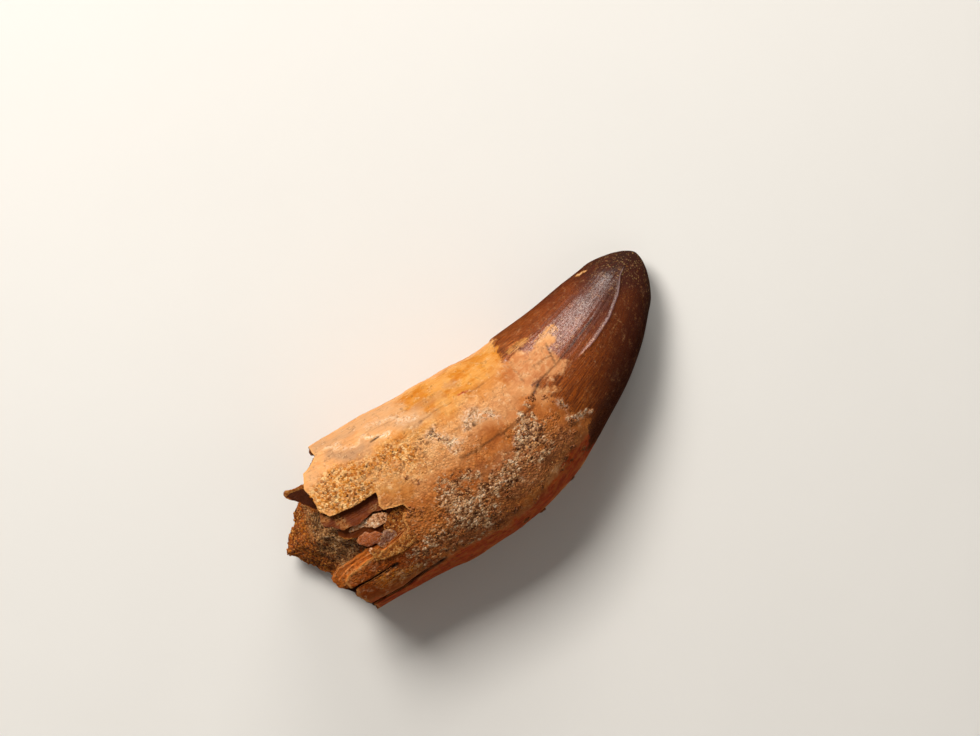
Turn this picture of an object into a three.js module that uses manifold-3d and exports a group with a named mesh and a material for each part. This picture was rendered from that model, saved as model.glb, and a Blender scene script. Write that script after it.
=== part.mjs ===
// Fossil crocodile tooth with a broken root, and the sandstone that fills its pulp cavity.
// Millimetres, +Z up. The tooth lies on its side. +X runs from the broken root end to the crown's
// tip, +Y towards the concave side, and the floor is z = 0.
import * as THREE from "three";
import { mergeVertices } from "three/addons/utils/BufferGeometryUtils.js";
import Module from "manifold-3d";

const wasm = await Module();
wasm.setup();

// Stations along the tooth. along: distance from the lost root end. x, y, height: the section's
// centre. turn: degrees that the section is turned about +Z. halfWidth, halfDepth: its two radii.
const STATIONS = [
  { along: 3, x: -31.0, y: 3.8, height: 9.75, turn: -11, halfWidth: 10.6, halfDepth: 9.6 },
  { along: 10, x: -24.2, y: 2.4, height: 9.6, turn: -11, halfWidth: 10.8, halfDepth: 9.6 },
  { along: 20, x: -14.3, y: 0.5, height: 9.55, turn: -12, halfWidth: 11.0, halfDepth: 9.6 },
  { along: 25, x: -9.4, y: -0.5, height: 9.5, turn: -11, halfWidth: 11.1, halfDepth: 9.6 },
  { along: 30, x: -4.5, y: -1.3, height: 9.45, turn: -8.4, halfWidth: 11.0, halfDepth: 9.6 },
  { along: 35, x: 0.5, y: -1.8, height: 9.25, turn: -2.4, halfWidth: 10.6, halfDepth: 9.4 },
  { along: 40, x: 5.4, y: -1.5, height: 8.75, turn: 5.8, halfWidth: 9.7, halfDepth: 8.7 },
  { along: 45, x: 10.3, y: -0.6, height: 8.3, turn: 10.8, halfWidth: 8.6, halfDepth: 7.7 },
  { along: 50, x: 15.2, y: 0.3, height: 7.3, turn: 15, halfWidth: 7.5, halfDepth: 6.7 },
  { along: 55, x: 20.0, y: 1.6, height: 5.9, turn: 16.5, halfWidth: 6.2, halfDepth: 5.4 },
  { along: 60, x: 24.7, y: 3.3, height: 4.2, turn: 20, halfWidth: 4.6, halfDepth: 3.9 },
  { along: 64, x: 28.5, y: 4.9, height: 3.4, turn: 25, halfWidth: 4.6, halfDepth: 3.9 },
];
const TIP_START = 60; // from here the section closes to the tip
const TIP_END = 64;
const TIP_POWER = 0.6;
const ROOT_SQUARENESS = 2.3; // exponent of the section's superellipse
const CROWN_SQUARENESS = 2.05;
const MID_HEIGHT = 9.6; // the root's widest level, where its upper and lower walls meet

// Surface relief.
const ENAMEL_EDGE = 42.5; // where the crown's enamel ends
const ENAMEL_WAVE = 1.8;
const ENAMEL_STEP = 0.18;
const ROOT_SWELL = 0.11;
const CARINA_HEIGHT = 0.32;
const CARINA_START = 46;
const CARINA_ANGLE = 97; // degrees round the section from the concave side, over the top

// Layers of the root wall, as depths under its outer surface.
const OUTER_LAYER = 0.8;
const PARTING = 1.1;
const MIDDLE_LAYER = 1.9;
const WALL = 2.9;
const WALL_AT_CAVITY_END = 8.2;
const CAVITY_TAPER_START = 14;
const CAVITY_END = 31;
const OVERLAP = 0.03; // how far each layer's cut runs into the next, so that no film is left

// Fill of the pulp cavity.
const FILL_GAP = 0.3;
const FILL_TIP = 4.4; // its farthest point, measured like the stations
const FILL_TIP_OFFSET = 0.4;
const FILL_FALL = 5; // how far the broken face falls back towards both sides
const FILL_FALL_WIDTH = 4.8; // the offset at which it has fallen most of that
const FILL_FALL_POWER = 1.3;
const FILL_RECESS = 0.7; // and how far it falls back with each millimetre of height
const FILL_RECESS_CONVEX = 0.4; // near the convex side
const FILL_ROUGHNESS = 0.28;

// Outlines seen from above, [x, y], from the concave side to the convex side.
// Each is the broken edge of one layer of the upper wall.
const OUTER_EDGE = [
  [-18.5, 16], [-18.4, 11], [-19.6, 10.3], [-20.8, 10.1], [-21.9, 8.6], [-21.8, 7.1],
  [-22.2, 5.5], [-21.6, 4.1], [-20.8, 3.8], [-18.7, 3.1], [-15.3, 2.7], [-16.1, 1.1],
  [-16, 0.4], [-13.8, -0.6], [-13.5, -2], [-14.3, -1.4], [-15, -1.9], [-15.2, -3.3],
  [-17.4, -3.6], [-19.2, -3.4], [-21.8, -3.1], [-24.4, -3], [-25.4, -3.4], [-25.3, -4.9],
  [-24.9, -5.1], [-25.4, -5.7], [-25, -7.1], [-24.5, -8.2], [-24.4, -14],
];
const PARTING_EDGE = [
  [-16, 16], [-15.7, 10.3], [-17.3, 7.6], [-18.3, 5.4], [-14.3, 4.2], [-14.1, 1.7],
  [-13.2, -0.3], [-15.1, -3.1], [-19.2, -3.3], [-24.4, -2.8], [-25.5, -3.5], [-24.9, -7.8],
  [-24.4, -14],
];
const MIDDLE_EDGE = [
  [-18.2, 16], [-18, 10.2], [-20.5, 9.3], [-21.4, 7.5], [-21.8, 5.6], [-22.4, 5],
  [-23, 4.2], [-23, 3.4], [-22.2, 2.9], [-21.5, 1.7], [-19.3, 1], [-17.1, 1.1],
  [-15.9, 0.3], [-16.1, -2.9], [-19, -2.8], [-21.6, -2.6], [-24.1, -2.4], [-26, -2.8],
  [-26.2, -3.5], [-25.3, -4.8], [-25.2, -7], [-24.4, -14],
];
const INNER_EDGE = [
  [-17.9, 16], [-17.8, 9.9], [-20.1, 8.8], [-21, 6.4], [-21.8, 4.4], [-21.8, 2.6],
  [-20.3, 1.3], [-17.3, 0.7], [-16.6, -0.9], [-17.1, -2.5], [-19.1, -2.6], [-20.6, -2.2],
  [-22.7, -2], [-25, -1.8], [-26.5, -2.2], [-26.6, -3.3], [-25.5, -4.8], [-25.3, -6.8],
  [-24.4, -14],
];
const LOWER_WALL_EDGE = [
  [-18.4, 16], [-18.3, 12.6], [-18.9, 11.8], [-18.4, 11.1], [-20.4, 10.3], [-20.1, 9.4],
  [-22.4, 8.7], [-22.3, 7.7], [-24.2, 6.8], [-25.6, 5.6], [-27, 4.9], [-28.2, 3.8],
  [-27.4, 3], [-26.8, 1.5], [-26.5, 0], [-26.3, -1.6], [-26.3, -3.4], [-25.7, -5],
  [-25.9, -6], [-25.1, -6.8], [-24.9, -8.4], [-24.4, -14],
];

// Loose-edged plates that stand out of the break. top: height at the point (atX, atY). rise: how
// much the plate climbs with each millimetre of x and of y.
const PLATES = [
  {
    outline: [
      [-24.5, 9.5], [-24, 8.8], [-23.3, 7.4], [-22.7, 6], [-21.6, 5.4], [-18.7, 6],
      [-18.7, 8.6], [-21.9, 9.1], [-23.4, 9.7],
    ],
    atX: -21, atY: 8, top: 15.6, rise: [0.55, 0.1], thickness: 1.3,
  },
  {
    outline: [
      [-22.2, 1], [-21.6, 1.7], [-20.7, 1.4], [-18.3, 0.9], [-15.9, 0.9], [-15.3, -0.5],
      [-16.5, -0.8], [-18.6, -0.9], [-20, -0.2], [-21.3, 0.1],
    ],
    atX: -17, atY: 0, top: 17.7, rise: [0.16, 0.1], thickness: 1.1,
  },
  {
    outline: [
      [-21.1, -0.4], [-19.9, -0.3], [-18.3, -1.2], [-16.7, -1.5], [-15.3, -2.5], [-15.5, -3.5],
      [-17.3, -3.5], [-19, -3], [-20.2, -2.4], [-20.7, -1.5],
    ],
    atX: -17, atY: -2.4, top: 17.4, rise: [0.2, 0.1], thickness: 1.1,
  },
];

// Cracks that run up the wall from the break, as [along, angle in degrees] on the surface.
const CRACKS = [
  { path: [[7, 129], [11, 130], [16, 132]], width: 0.5, depth: 1.9 },
  { path: [[8, 165], [11, 163], [16, 158], [21, 147]], width: 0.44, depth: 1.4 },
];
const CRACK_POINT = 0.2; // share of its width and depth that a crack keeps at its inner end

// Crust lumps: knots of hard sand cemented to the root, each an uneven flattened ball.
const LUMP_COUNT = 44;
const LUMP_FROM = { along: 20, angle: 74 };
const LUMP_TO = { along: 43, angle: 170 };
const LUMP_RADIUS = [0.35, 0.8];
const LUMP_UNEVENNESS = 0.45;
const LUMP_FLATNESS = 0.5;
const EDGE_LUMPS = [
  { along: 34, angle: 176, radius: 0.7 },
  { along: 38.2, angle: 174, radius: 0.8 },
  { along: 39.5, angle: 176, radius: 0.6 },
];

// Mesh densities.
const COLUMNS = 48;
const ROW_LENGTH = 1.4;
const INNER_COLUMNS = 28;
const INNER_ROW_LENGTH = 4;
const FILL_RINGS = 5;
const BEYOND = 40; // farther out than any point of the tooth
const CENTRING = [0.25, 0.2]; // moves the part's middle to x = 0, y = 0

const radians = THREE.MathUtils.degToRad;
const smooth = THREE.MathUtils.smoothstep;

// A repeatable stream of numbers between 0 and 1.
function randomStream(seed) {
  let state = seed;
  return () => {
    state = (state * 16807) % 2147483647;
    return state / 2147483647;
  };
}

// One column of the stations at any place, by a Catmull-Rom curve over uneven steps.
function stationValue(name, along) {
  const last = STATIONS.length - 1;
  const passed = STATIONS.filter((station) => station.along <= along).length;
  const i = THREE.MathUtils.clamp(passed - 1, 0, last - 1);
  const [a, b] = [STATIONS[i], STATIONS[i + 1]];
  const before = STATIONS[Math.max(i - 1, 0)];
  const after = STATIONS[Math.min(i + 2, last)];
  const step = b.along - a.along;
  const slopeA = (b[name] - before[name]) / (b.along - before.along);
  const slopeB = (after[name] - a[name]) / (after.along - a.along);
  const t = (along - a.along) / step;
  return (
    (2 * t ** 3 - 3 * t ** 2 + 1) * a[name] +
    (t ** 3 - 2 * t ** 2 + t) * step * slopeA +
    (3 * t ** 2 - 2 * t ** 3) * b[name] +
    (t ** 3 - t ** 2) * step * slopeB
  );
}

// The cross-section at a distance along the tooth.
function sectionAt(along) {
  const end = Math.max(0, (along - TIP_START) / (TIP_END - TIP_START));
  const taper = (1 - Math.min(1, end)) ** TIP_POWER;
  const turn = radians(stationValue("turn", along));
  return {
    centre: new THREE.Vector3(
      stationValue("x", along),
      stationValue("y", along),
      stationValue("height", along),
    ),
    side: new THREE.Vector3(-Math.sin(turn), Math.cos(turn), 0),
    halfWidth: stationValue("halfWidth", along) * taper,
    halfDepth: stationValue("halfDepth", along) * taper,
    squareness: THREE.MathUtils.lerp(
      ROOT_SQUARENESS,
      CROWN_SQUARENESS,
      smooth(along, 32, 46),
    ),
  };
}

const roundedPower = (value, power) => Math.sign(value) * Math.abs(value) ** power;

// A point at an offset across and an offset up from a section's centre.
function sectionPoint(section, across, up) {
  return section.centre
    .clone()
    .addScaledVector(section.side, across)
    .add(new THREE.Vector3(0, 0, up));
}

// How far the true surface stands off the smooth form: the root's swells, the enamel's step and
// the two cutting ridges of the crown.
function relief(along, angle) {
  const degrees = THREE.MathUtils.radToDeg(angle);
  const underside = smooth(-Math.sin(angle), 0.5, 0.8);
  const swell =
    ROOT_SWELL *
    (1 - underside) *
    (Math.sin(0.42 * along + 2 * angle) * Math.cos(3 * angle) +
      0.6 * Math.sin(0.9 * along - 5 * angle + 1));
  const edge = ENAMEL_EDGE + ENAMEL_WAVE * Math.sin(3 * angle + 0.6);
  const crown = smooth(along, edge - 0.6, edge + 0.6);
  const bands = [CARINA_ANGLE, 360 - CARINA_ANGLE];
  const ridge = bands.reduce(
    (sum, band) => sum + Math.max(0, 1 - Math.abs(degrees - band) / 7),
    0,
  );
  const rise = smooth(along, CARINA_START, CARINA_START + 5);
  const fade = 1 - smooth(along, TIP_START + 1, TIP_END);
  return swell * (1 - crown) + ENAMEL_STEP * crown * fade + CARINA_HEIGHT * ridge * rise * fade;
}

// A point of the surface that lies at a depth under the outer one.
function skinPoint(along, angle, depth, raised) {
  const section = sectionAt(along);
  const power = 2 / section.squareness;
  const inset = raised - depth;
  return sectionPoint(
    section,
    (section.halfWidth + inset) * roundedPower(Math.cos(angle), power),
    (section.halfDepth + inset) * roundedPower(Math.sin(angle), power),
  );
}

// A manifold-3d solid from points and triangles.
function solidFrom(points, triangles) {
  const vertProperties = new Float32Array(points.flatMap((p) => p.toArray()));
  const triVerts = new Uint32Array(triangles.flat());
  return new wasm.Manifold(new wasm.Mesh({ numProp: 3, vertProperties, triVerts }));
}

// A manifold-3d solid from a closed three.js geometry.
function solidOf(geometry) {
  geometry.deleteAttribute("normal");
  geometry.deleteAttribute("uv");
  const merged = mergeVertices(geometry, 1e-4);
  return new wasm.Manifold(
    new wasm.Mesh({
      numProp: 3,
      vertProperties: merged.attributes.position.array,
      triVerts: new Uint32Array(merged.index.array),
    }),
  );
}

// A closed skin through rings of equal size, each a list of points, and a point past each end.
function loft(rings, startPoint, endPoint) {
  const columns = rings[0].length;
  const points = [...rings.flat(), startPoint, endPoint];
  const [start, end] = [points.length - 2, points.length - 1];
  const triangles = [];
  for (let column = 0; column < columns; column++) {
    const next = (column + 1) % columns;
    for (let row = 0; row < rings.length - 1; row++) {
      const [a, b] = [row * columns + column, row * columns + next];
      const [c, d] = [a + columns, b + columns];
      triangles.push((row + column) % 2 ? [a, b, d] : [a, b, c]);
      triangles.push((row + column) % 2 ? [a, d, c] : [b, d, c]);
    }
    const lastRow = (rings.length - 1) * columns;
    triangles.push([start, next, column]);
    triangles.push([end, lastRow + column, lastRow + next]);
  }
  return solidFrom(points, triangles);
}

// Evenly spaced places from one distance along the tooth to another.
function placesBetween(from, to, length) {
  const count = Math.ceil((to - from) / length);
  return Array.from({ length: count + 1 }, (_, i) => from + ((to - from) * i) / count);
}

const ringAt = (columns, pointAt) =>
  Array.from({ length: columns }, (_, i) => pointAt((2 * Math.PI * i) / columns));

// The whole outer form, from the lost root end to the tip.
function outerSkin() {
  const places = placesBetween(STATIONS[0].along, TIP_START, ROW_LENGTH);
  places.push(60.9, 61.8, 62.6, 63.2, 63.7);
  const rings = places.map((along) =>
    ringAt(COLUMNS, (angle) => skinPoint(along, angle, 0, relief(along, angle))),
  );
  return loft(rings, sectionAt(places[0]).centre, sectionAt(TIP_END).centre);
}

// The same form without relief at an even depth, for the root only.
function innerSkin(depth) {
  const places = placesBetween(STATIONS[0].along - 1, CAVITY_END, INNER_ROW_LENGTH);
  const rings = places.map((along) =>
    ringAt(INNER_COLUMNS, (angle) => skinPoint(along, angle, depth, 0)),
  );
  const last = places[places.length - 1];
  return loft(rings, sectionAt(places[0]).centre, sectionAt(last).centre);
}

// The wall's thickness, which grows where the pulp cavity narrows.
function wallAt(along) {
  const share = (along - CAVITY_TAPER_START) / (CAVITY_END - CAVITY_TAPER_START);
  return THREE.MathUtils.lerp(WALL, WALL_AT_CAVITY_END, THREE.MathUtils.clamp(share, 0, 1));
}

function pulpCavity() {
  const places = placesBetween(STATIONS[0].along - 1, CAVITY_END - 1, 3);
  const rings = places.map((along) =>
    ringAt(INNER_COLUMNS, (angle) => skinPoint(along, angle, wallAt(along), 0)),
  );
  return loft(rings, sectionAt(places[0]).centre, sectionAt(CAVITY_END).centre);
}

// An upright prism on an outline of [x, y] points.
function prism(outline, low, high) {
  const shape = new THREE.Shape(outline.map(([x, y]) => new THREE.Vector2(x, y)));
  const geometry = new THREE.ExtrudeGeometry(shape, { depth: high - low, bevelEnabled: false });
  return solidOf(geometry.translate(0, 0, low));
}

// Everything on the lost side of a broken edge.
function lostSide(edge, low, high) {
  return prism([...edge, [-BEYOND, -14], [-BEYOND, 16]], low, high);
}

// A plate of even thickness whose upper face is a sloping plane.
function plate({ outline, atX, atY, top, rise, thickness }) {
  const shape = new THREE.Shape(outline.map(([x, y]) => new THREE.Vector2(x, y)));
  const geometry = new THREE.ExtrudeGeometry(shape, { depth: thickness, bevelEnabled: false });
  const position = geometry.attributes.position;
  for (let i = 0; i < position.count; i++) {
    const slope = (position.getX(i) - atX) * rise[0] + (position.getY(i) - atY) * rise[1];
    position.setZ(i, position.getZ(i) + top - thickness + slope);
  }
  return solidOf(geometry);
}

// The wedge that a crack takes out of the wall: its mouth lies above the surface.
function crack({ path, width, depth }) {
  const rings = path.map(([along, degrees], i) => {
    const share = THREE.MathUtils.lerp(1, CRACK_POINT, i / (path.length - 1));
    const angle = radians(degrees);
    const mouth = skinPoint(along, angle, -1, 0);
    const level = skinPoint(along, angle + 0.01, -1, 0).sub(mouth).normalize();
    return [
      mouth.clone().addScaledVector(level, -width * share),
      mouth.clone().addScaledVector(level, width * share),
      skinPoint(along, angle, depth * share, 0),
    ];
  });
  const middle = (ring) => ring[0].clone().add(ring[1]).add(ring[2]).divideScalar(3);
  return loft(rings, middle(rings[0]), middle(rings[rings.length - 1]));
}

// A lump seated on the surface, turned and dented at random.
function lump({ along, angle, radius }, random) {
  const geometry = new THREE.IcosahedronGeometry(radius, 0);
  geometry.deleteAttribute("normal");
  geometry.deleteAttribute("uv");
  const ball = mergeVertices(geometry.rotateX(random() * 3).rotateY(random() * 3));
  const position = ball.attributes.position;
  for (let i = 0; i < position.count; i++) {
    const point = new THREE.Vector3().fromBufferAttribute(position, i);
    point.multiplyScalar(1 + LUMP_UNEVENNESS * (random() - 0.5));
    position.setXYZ(i, ...point.toArray());
  }
  const centre = skinPoint(along, radians(angle), 0, 0);
  const outward = skinPoint(along, radians(angle), -1, 0).sub(centre).normalize();
  const upright = new THREE.Quaternion().setFromUnitVectors(new THREE.Vector3(0, 0, 1), outward);
  ball.scale(1.25, 1, LUMP_FLATNESS).applyQuaternion(upright);
  return solidOf(ball.translate(centre.x, centre.y, centre.z));
}

function crustLumps() {
  const random = randomStream(20117);
  const between = (low, high) => low + (high - low) * random();
  const scattered = Array.from({ length: LUMP_COUNT }, () => ({
    along: between(LUMP_FROM.along, LUMP_TO.along),
    angle: between(LUMP_FROM.angle, LUMP_TO.angle),
    radius: between(...LUMP_RADIUS),
  }));
  return [...scattered, ...EDGE_LUMPS].map((item) => lump(item, random));
}

// The tooth: the outer form, less the layers that have broken away, the cavity and the cracks,
// with the plates and lumps joined on and its underside worn to the floor.
function makeTooth() {
  const lost = (edge, depth) =>
    lostSide(edge, MID_HEIGHT, BEYOND).subtract(innerSkin(depth + OVERLAP));
  const grown = outerSkin()
    .subtract(lost(OUTER_EDGE, OUTER_LAYER))
    .subtract(lost(PARTING_EDGE, PARTING).intersect(innerSkin(OUTER_LAYER)))
    .subtract(lost(MIDDLE_EDGE, MIDDLE_LAYER).intersect(innerSkin(PARTING)))
    .subtract(lost(INNER_EDGE, WALL).intersect(innerSkin(MIDDLE_LAYER)))
    .subtract(lostSide(LOWER_WALL_EDGE, -BEYOND, MID_HEIGHT + OVERLAP))
    .subtract(pulpCavity());
  const cracked = CRACKS.reduce((solid, item) => solid.subtract(crack(item)), grown);
  const joined = [...PLATES.map(plate), ...crustLumps()].reduce(
    (solid, item) => solid.add(item),
    cracked,
  );
  const floor = solidOf(
    new THREE.BoxGeometry(2 * BEYOND, 2 * BEYOND, BEYOND).translate(0, 0, -BEYOND / 2),
  );
  return joined.subtract(floor);
}

// How far along the tooth the fill's broken face lies, at an offset across and a height.
function fillFace(across, height) {
  const offset = Math.abs(across - FILL_TIP_OFFSET) / FILL_FALL_WIDTH;
  const fall = FILL_FALL * (1 - Math.exp(-(offset ** FILL_FALL_POWER)));
  const recess = THREE.MathUtils.lerp(FILL_RECESS, FILL_RECESS_CONVEX, smooth(-across, 2, 7));
  const rough = Math.sin(2.3 * across + 0.9 * height) * Math.cos(1.7 * height - across);
  return FILL_TIP + fall + recess * Math.max(0, height - WALL) + FILL_ROUGHNESS * rough;
}

// The place on the cavity's wall, at an angle, where the fill's broken face meets it.
function fillRim(angle) {
  let along = FILL_TIP;
  for (let i = 0; i < 12; i++) {
    const section = sectionAt(along);
    const point = skinPoint(along, angle, wallAt(along) + FILL_GAP, 0);
    const across = point.clone().sub(section.centre).dot(section.side);
    along = THREE.MathUtils.lerp(along, fillFace(across, point.z), 0.6);
  }
  return along;
}

// The sandstone plug: a rough sloping face, then the cavity's form less the gap.
function makeFill() {
  const rims = ringAt(INNER_COLUMNS, fillRim);
  const wallRing = (share) =>
    ringAt(INNER_COLUMNS, (angle) => {
      const rim = rims[Math.round((angle * INNER_COLUMNS) / (2 * Math.PI))];
      const along = THREE.MathUtils.lerp(rim, CAVITY_END - 1.6, share);
      return skinPoint(along, angle, wallAt(along) + FILL_GAP, 0);
    });
  const faceRing = (share) =>
    wallRing(0).map((rim) => {
      const section = sectionAt(FILL_TIP + 4);
      const inward = rim.clone().sub(section.centre);
      const across = inward.dot(section.side) * share;
      const height = section.centre.z + (rim.z - section.centre.z) * share;
      const place = sectionAt(fillFace(across, height));
      return sectionPoint(place, across, height - place.centre.z);
    });
  const shares = Array.from({ length: FILL_RINGS - 1 }, (_, i) => (i + 1) / FILL_RINGS);
  const rings = [
    ...shares.map(faceRing),
    ...[0, 0.12, 0.3, 0.5, 0.7, 0.86, 1].map(wallRing),
  ];
  const centreHeight = sectionAt(FILL_TIP + 4).centre.z;
  const place = sectionAt(fillFace(0, centreHeight));
  const start = sectionPoint(place, 0, centreHeight - place.centre.z);
  return loft(rings, start, sectionAt(CAVITY_END - 0.8).centre);
}

// A named three.js mesh with its own material.
function namedMesh(name, solid, color, roughness) {
  const { numProp, vertProperties, triVerts } = solid.getMesh();
  const geometry = new THREE.BufferGeometry();
  const buffer = new THREE.InterleavedBuffer(vertProperties, numProp);
  geometry.setAttribute("position", new THREE.InterleavedBufferAttribute(buffer, 3, 0));
  geometry.setIndex(new THREE.BufferAttribute(triVerts, 1));
  geometry.computeVertexNormals();
  const material = new THREE.MeshStandardMaterial({ color, roughness, metalness: 0 });
  const mesh = new THREE.Mesh(geometry, material);
  mesh.name = name;
  return mesh;
}

const group = new THREE.Group();
group.position.set(...CENTRING, 0);
group.add(namedMesh("tooth", makeTooth(), 0xa9682c, 0.55));
group.add(namedMesh("matrix_fill", makeFill(), 0x7d6a45, 0.95));

export default group;
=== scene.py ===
"""A fossil crocodile tooth with a broken root, dressed for rendering.

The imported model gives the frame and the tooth's place. The pieces below stand for its two solids
with finer meshes: the skin of the crown and root, the layers of the broken wall, the loose plates,
the sand that is cemented to the root, and the sandstone in the pulp cavity. Sizes are millimetres
until a mesh is made, which is in metres.
"""

import itertools
import logging
import math
from collections.abc import Sequence
from dataclasses import dataclass, field
from enum import Enum

import bpy
import numpy as np
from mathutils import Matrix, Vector


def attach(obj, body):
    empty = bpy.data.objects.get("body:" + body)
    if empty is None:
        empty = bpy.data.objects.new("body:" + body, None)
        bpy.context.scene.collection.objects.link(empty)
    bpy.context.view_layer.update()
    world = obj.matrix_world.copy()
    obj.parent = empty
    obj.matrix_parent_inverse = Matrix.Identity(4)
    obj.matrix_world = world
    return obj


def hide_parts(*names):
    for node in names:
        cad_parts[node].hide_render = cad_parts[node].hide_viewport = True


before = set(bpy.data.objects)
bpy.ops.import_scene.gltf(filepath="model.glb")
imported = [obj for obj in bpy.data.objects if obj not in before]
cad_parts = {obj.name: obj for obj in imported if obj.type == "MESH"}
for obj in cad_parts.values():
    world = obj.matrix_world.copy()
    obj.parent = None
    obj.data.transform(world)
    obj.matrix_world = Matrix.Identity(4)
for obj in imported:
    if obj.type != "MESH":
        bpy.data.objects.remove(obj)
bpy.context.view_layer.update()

log = logging.getLogger("fossil_tooth")

Array = np.ndarray
Colour = tuple[float, float, float]
Place = tuple[float, float]
Span = tuple[float, float]
Stops = tuple[tuple[float, Colour], ...]

METRES = 0.001
CENTRING = np.array([0.25, 0.2, 0.0])
FULL_TURN = 2 * math.pi

# Stations along the tooth: distance from the lost root end, the section's centre x, y and height,
# degrees turned about +Z, and the section's two radii.
STATIONS = np.array([
    [3, -31.0, 3.8, 9.75, -11, 10.6, 9.6],
    [10, -24.2, 2.4, 9.6, -11, 10.8, 9.6],
    [20, -14.3, 0.5, 9.55, -12, 11.0, 9.6],
    [25, -9.4, -0.5, 9.5, -11, 11.1, 9.6],
    [30, -4.5, -1.3, 9.45, -8.4, 11.0, 9.6],
    [35, 0.5, -1.8, 9.25, -2.4, 10.6, 9.4],
    [40, 5.4, -1.5, 8.75, 5.8, 9.7, 8.7],
    [45, 10.3, -0.6, 8.3, 10.8, 8.6, 7.7],
    [50, 15.2, 0.3, 7.3, 15, 7.5, 6.7],
    [55, 20.0, 1.6, 5.9, 16.5, 6.2, 5.4],
    [60, 24.7, 3.3, 4.2, 20, 4.6, 3.9],
    [64, 28.5, 4.9, 3.4, 25, 4.6, 3.9],
])

# Broken edges seen from above, as (x, y), from the concave side to the convex side.
OUTER_EDGE = [
    (-18.5, 16), (-18.4, 11), (-19.6, 10.3), (-20.8, 10.1), (-21.9, 8.6), (-21.8, 7.1),
    (-22.2, 5.5), (-21.6, 4.1), (-20.8, 3.8), (-18.7, 3.1), (-15.3, 2.7), (-16.1, 1.1),
    (-16, 0.4), (-13.8, -0.6), (-13.5, -2), (-14.3, -1.4), (-15, -1.9), (-15.2, -3.3),
    (-17.4, -3.6), (-19.2, -3.4), (-21.8, -3.1), (-24.4, -3), (-25.4, -3.4), (-25.3, -4.9),
    (-24.9, -5.1), (-25.4, -5.7), (-25, -7.1), (-24.5, -8.2), (-24.4, -14),
]
PARTING_EDGE = [
    (-16, 16), (-15.7, 10.3), (-17.3, 7.6), (-18.3, 5.4), (-14.3, 4.2), (-14.1, 1.7),
    (-13.2, -0.3), (-15.1, -3.1), (-19.2, -3.3), (-24.4, -2.8), (-25.5, -3.5), (-24.9, -7.8),
    (-24.4, -14),
]
MIDDLE_EDGE = [
    (-18.2, 16), (-18, 10.2), (-20.5, 9.3), (-21.4, 7.5), (-21.8, 5.6), (-22.4, 5),
    (-23, 4.2), (-23, 3.4), (-22.2, 2.9), (-21.5, 1.7), (-19.3, 1), (-17.1, 1.1),
    (-15.9, 0.3), (-16.1, -2.9), (-19, -2.8), (-21.6, -2.6), (-24.1, -2.4), (-26, -2.8),
    (-26.2, -3.5), (-25.3, -4.8), (-25.2, -7), (-24.4, -14),
]
INNER_EDGE = [
    (-17.9, 16), (-17.8, 9.9), (-20.1, 8.8), (-21, 6.4), (-21.8, 4.4), (-21.8, 2.6),
    (-20.3, 1.3), (-17.3, 0.7), (-16.6, -0.9), (-17.1, -2.5), (-19.1, -2.6), (-20.6, -2.2),
    (-22.7, -2), (-25, -1.8), (-26.5, -2.2), (-26.6, -3.3), (-25.5, -4.8), (-25.3, -6.8),
    (-24.4, -14),
]
LOWER_WALL_EDGE = [
    (-18.4, 16), (-18.3, 12.6), (-18.9, 11.8), (-18.4, 11.1), (-20.4, 10.3), (-20.1, 9.4),
    (-22.4, 8.7), (-22.3, 7.7), (-24.2, 6.8), (-25.6, 5.6), (-27, 4.9), (-28.2, 3.8),
    (-27.4, 3), (-26.8, 1.5), (-26.5, 0), (-26.3, -1.6), (-26.3, -3.4), (-25.7, -5),
    (-25.9, -6), (-25.1, -6.8), (-24.9, -8.4), (-24.4, -14),
]

# Where the enamel ends, and where the crown's upper cutting ridge runs, as (angle, along) and
# (along, angle): angles are degrees round the section from the concave side, over the top.
ENAMEL_LINE = [
    (-90, 42.5), (-68, 43.9), (-50, 42.6), (-34, 44.4), (-20, 43.1), (-8, 44.3), (2, 43.4),
    (13, 43.8), (38, 43.2), (50, 42.4), (59, 42.7), (70, 43.3),
    (81, 42.9), (86, 41.6), (92, 43.1), (103, 43.0), (116, 43.4), (132, 44.1), (148, 43.2),
    (158, 41.2), (185, 43.0), (230, 44.0), (270, 42.5),
]
RIDGE_LINE = [
    (46, 94), (49.1, 96), (51.9, 98), (55.4, 99), (58.2, 96), (59.4, 92), (60.4, 86), (64, 80),
]


def ease(value: Array | float, low: float, high: float) -> Array:
    """Step smoothly from 0 at low to 1 at high.

    Args:
        value: The numbers to grade.
        low: Where the step starts.
        high: Where it ends.

    Returns:
        Numbers from 0 to 1.
    """
    share = np.clip((value - low) / (high - low), 0.0, 1.0)
    return share * share * (3.0 - 2.0 * share)


def scatter_hash(cells: Array, seed: int) -> Array:
    """Give each whole-number cell its own repeatable number.

    Args:
        cells: Cell indices, one row of three each.
        seed: Chooses the set of numbers.

    Returns:
        Numbers from 0 to 1.
    """
    mixed = cells[..., 0] * 374761393 + cells[..., 1] * 668265263
    mixed = mixed + cells[..., 2] * 1440662683 + seed * 362437
    mixed = (mixed ^ (mixed >> 13)) * 1274126177
    mixed = mixed ^ (mixed >> 16)
    return (mixed & 0xFFFF) / 65535.0


def soft_noise(points: Array, size: float, seed: int) -> Array:
    """Make smooth noise in space.

    Args:
        points: Places, one row of three each.
        size: The width of its lumps.
        seed: Chooses the pattern.

    Returns:
        Numbers from -1 to 1.
    """
    scaled = points / size
    cell = np.floor(scaled).astype(np.int64)
    local = scaled - cell
    weight = local * local * (3.0 - 2.0 * local)
    total = np.zeros(len(points))
    for corner in itertools.product((0, 1), repeat=3):
        share = np.where(corner, weight, 1.0 - weight).prod(axis=1)
        total += share * scatter_hash(cell + np.array(corner), seed)
    return 2.0 * total - 1.0


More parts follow.
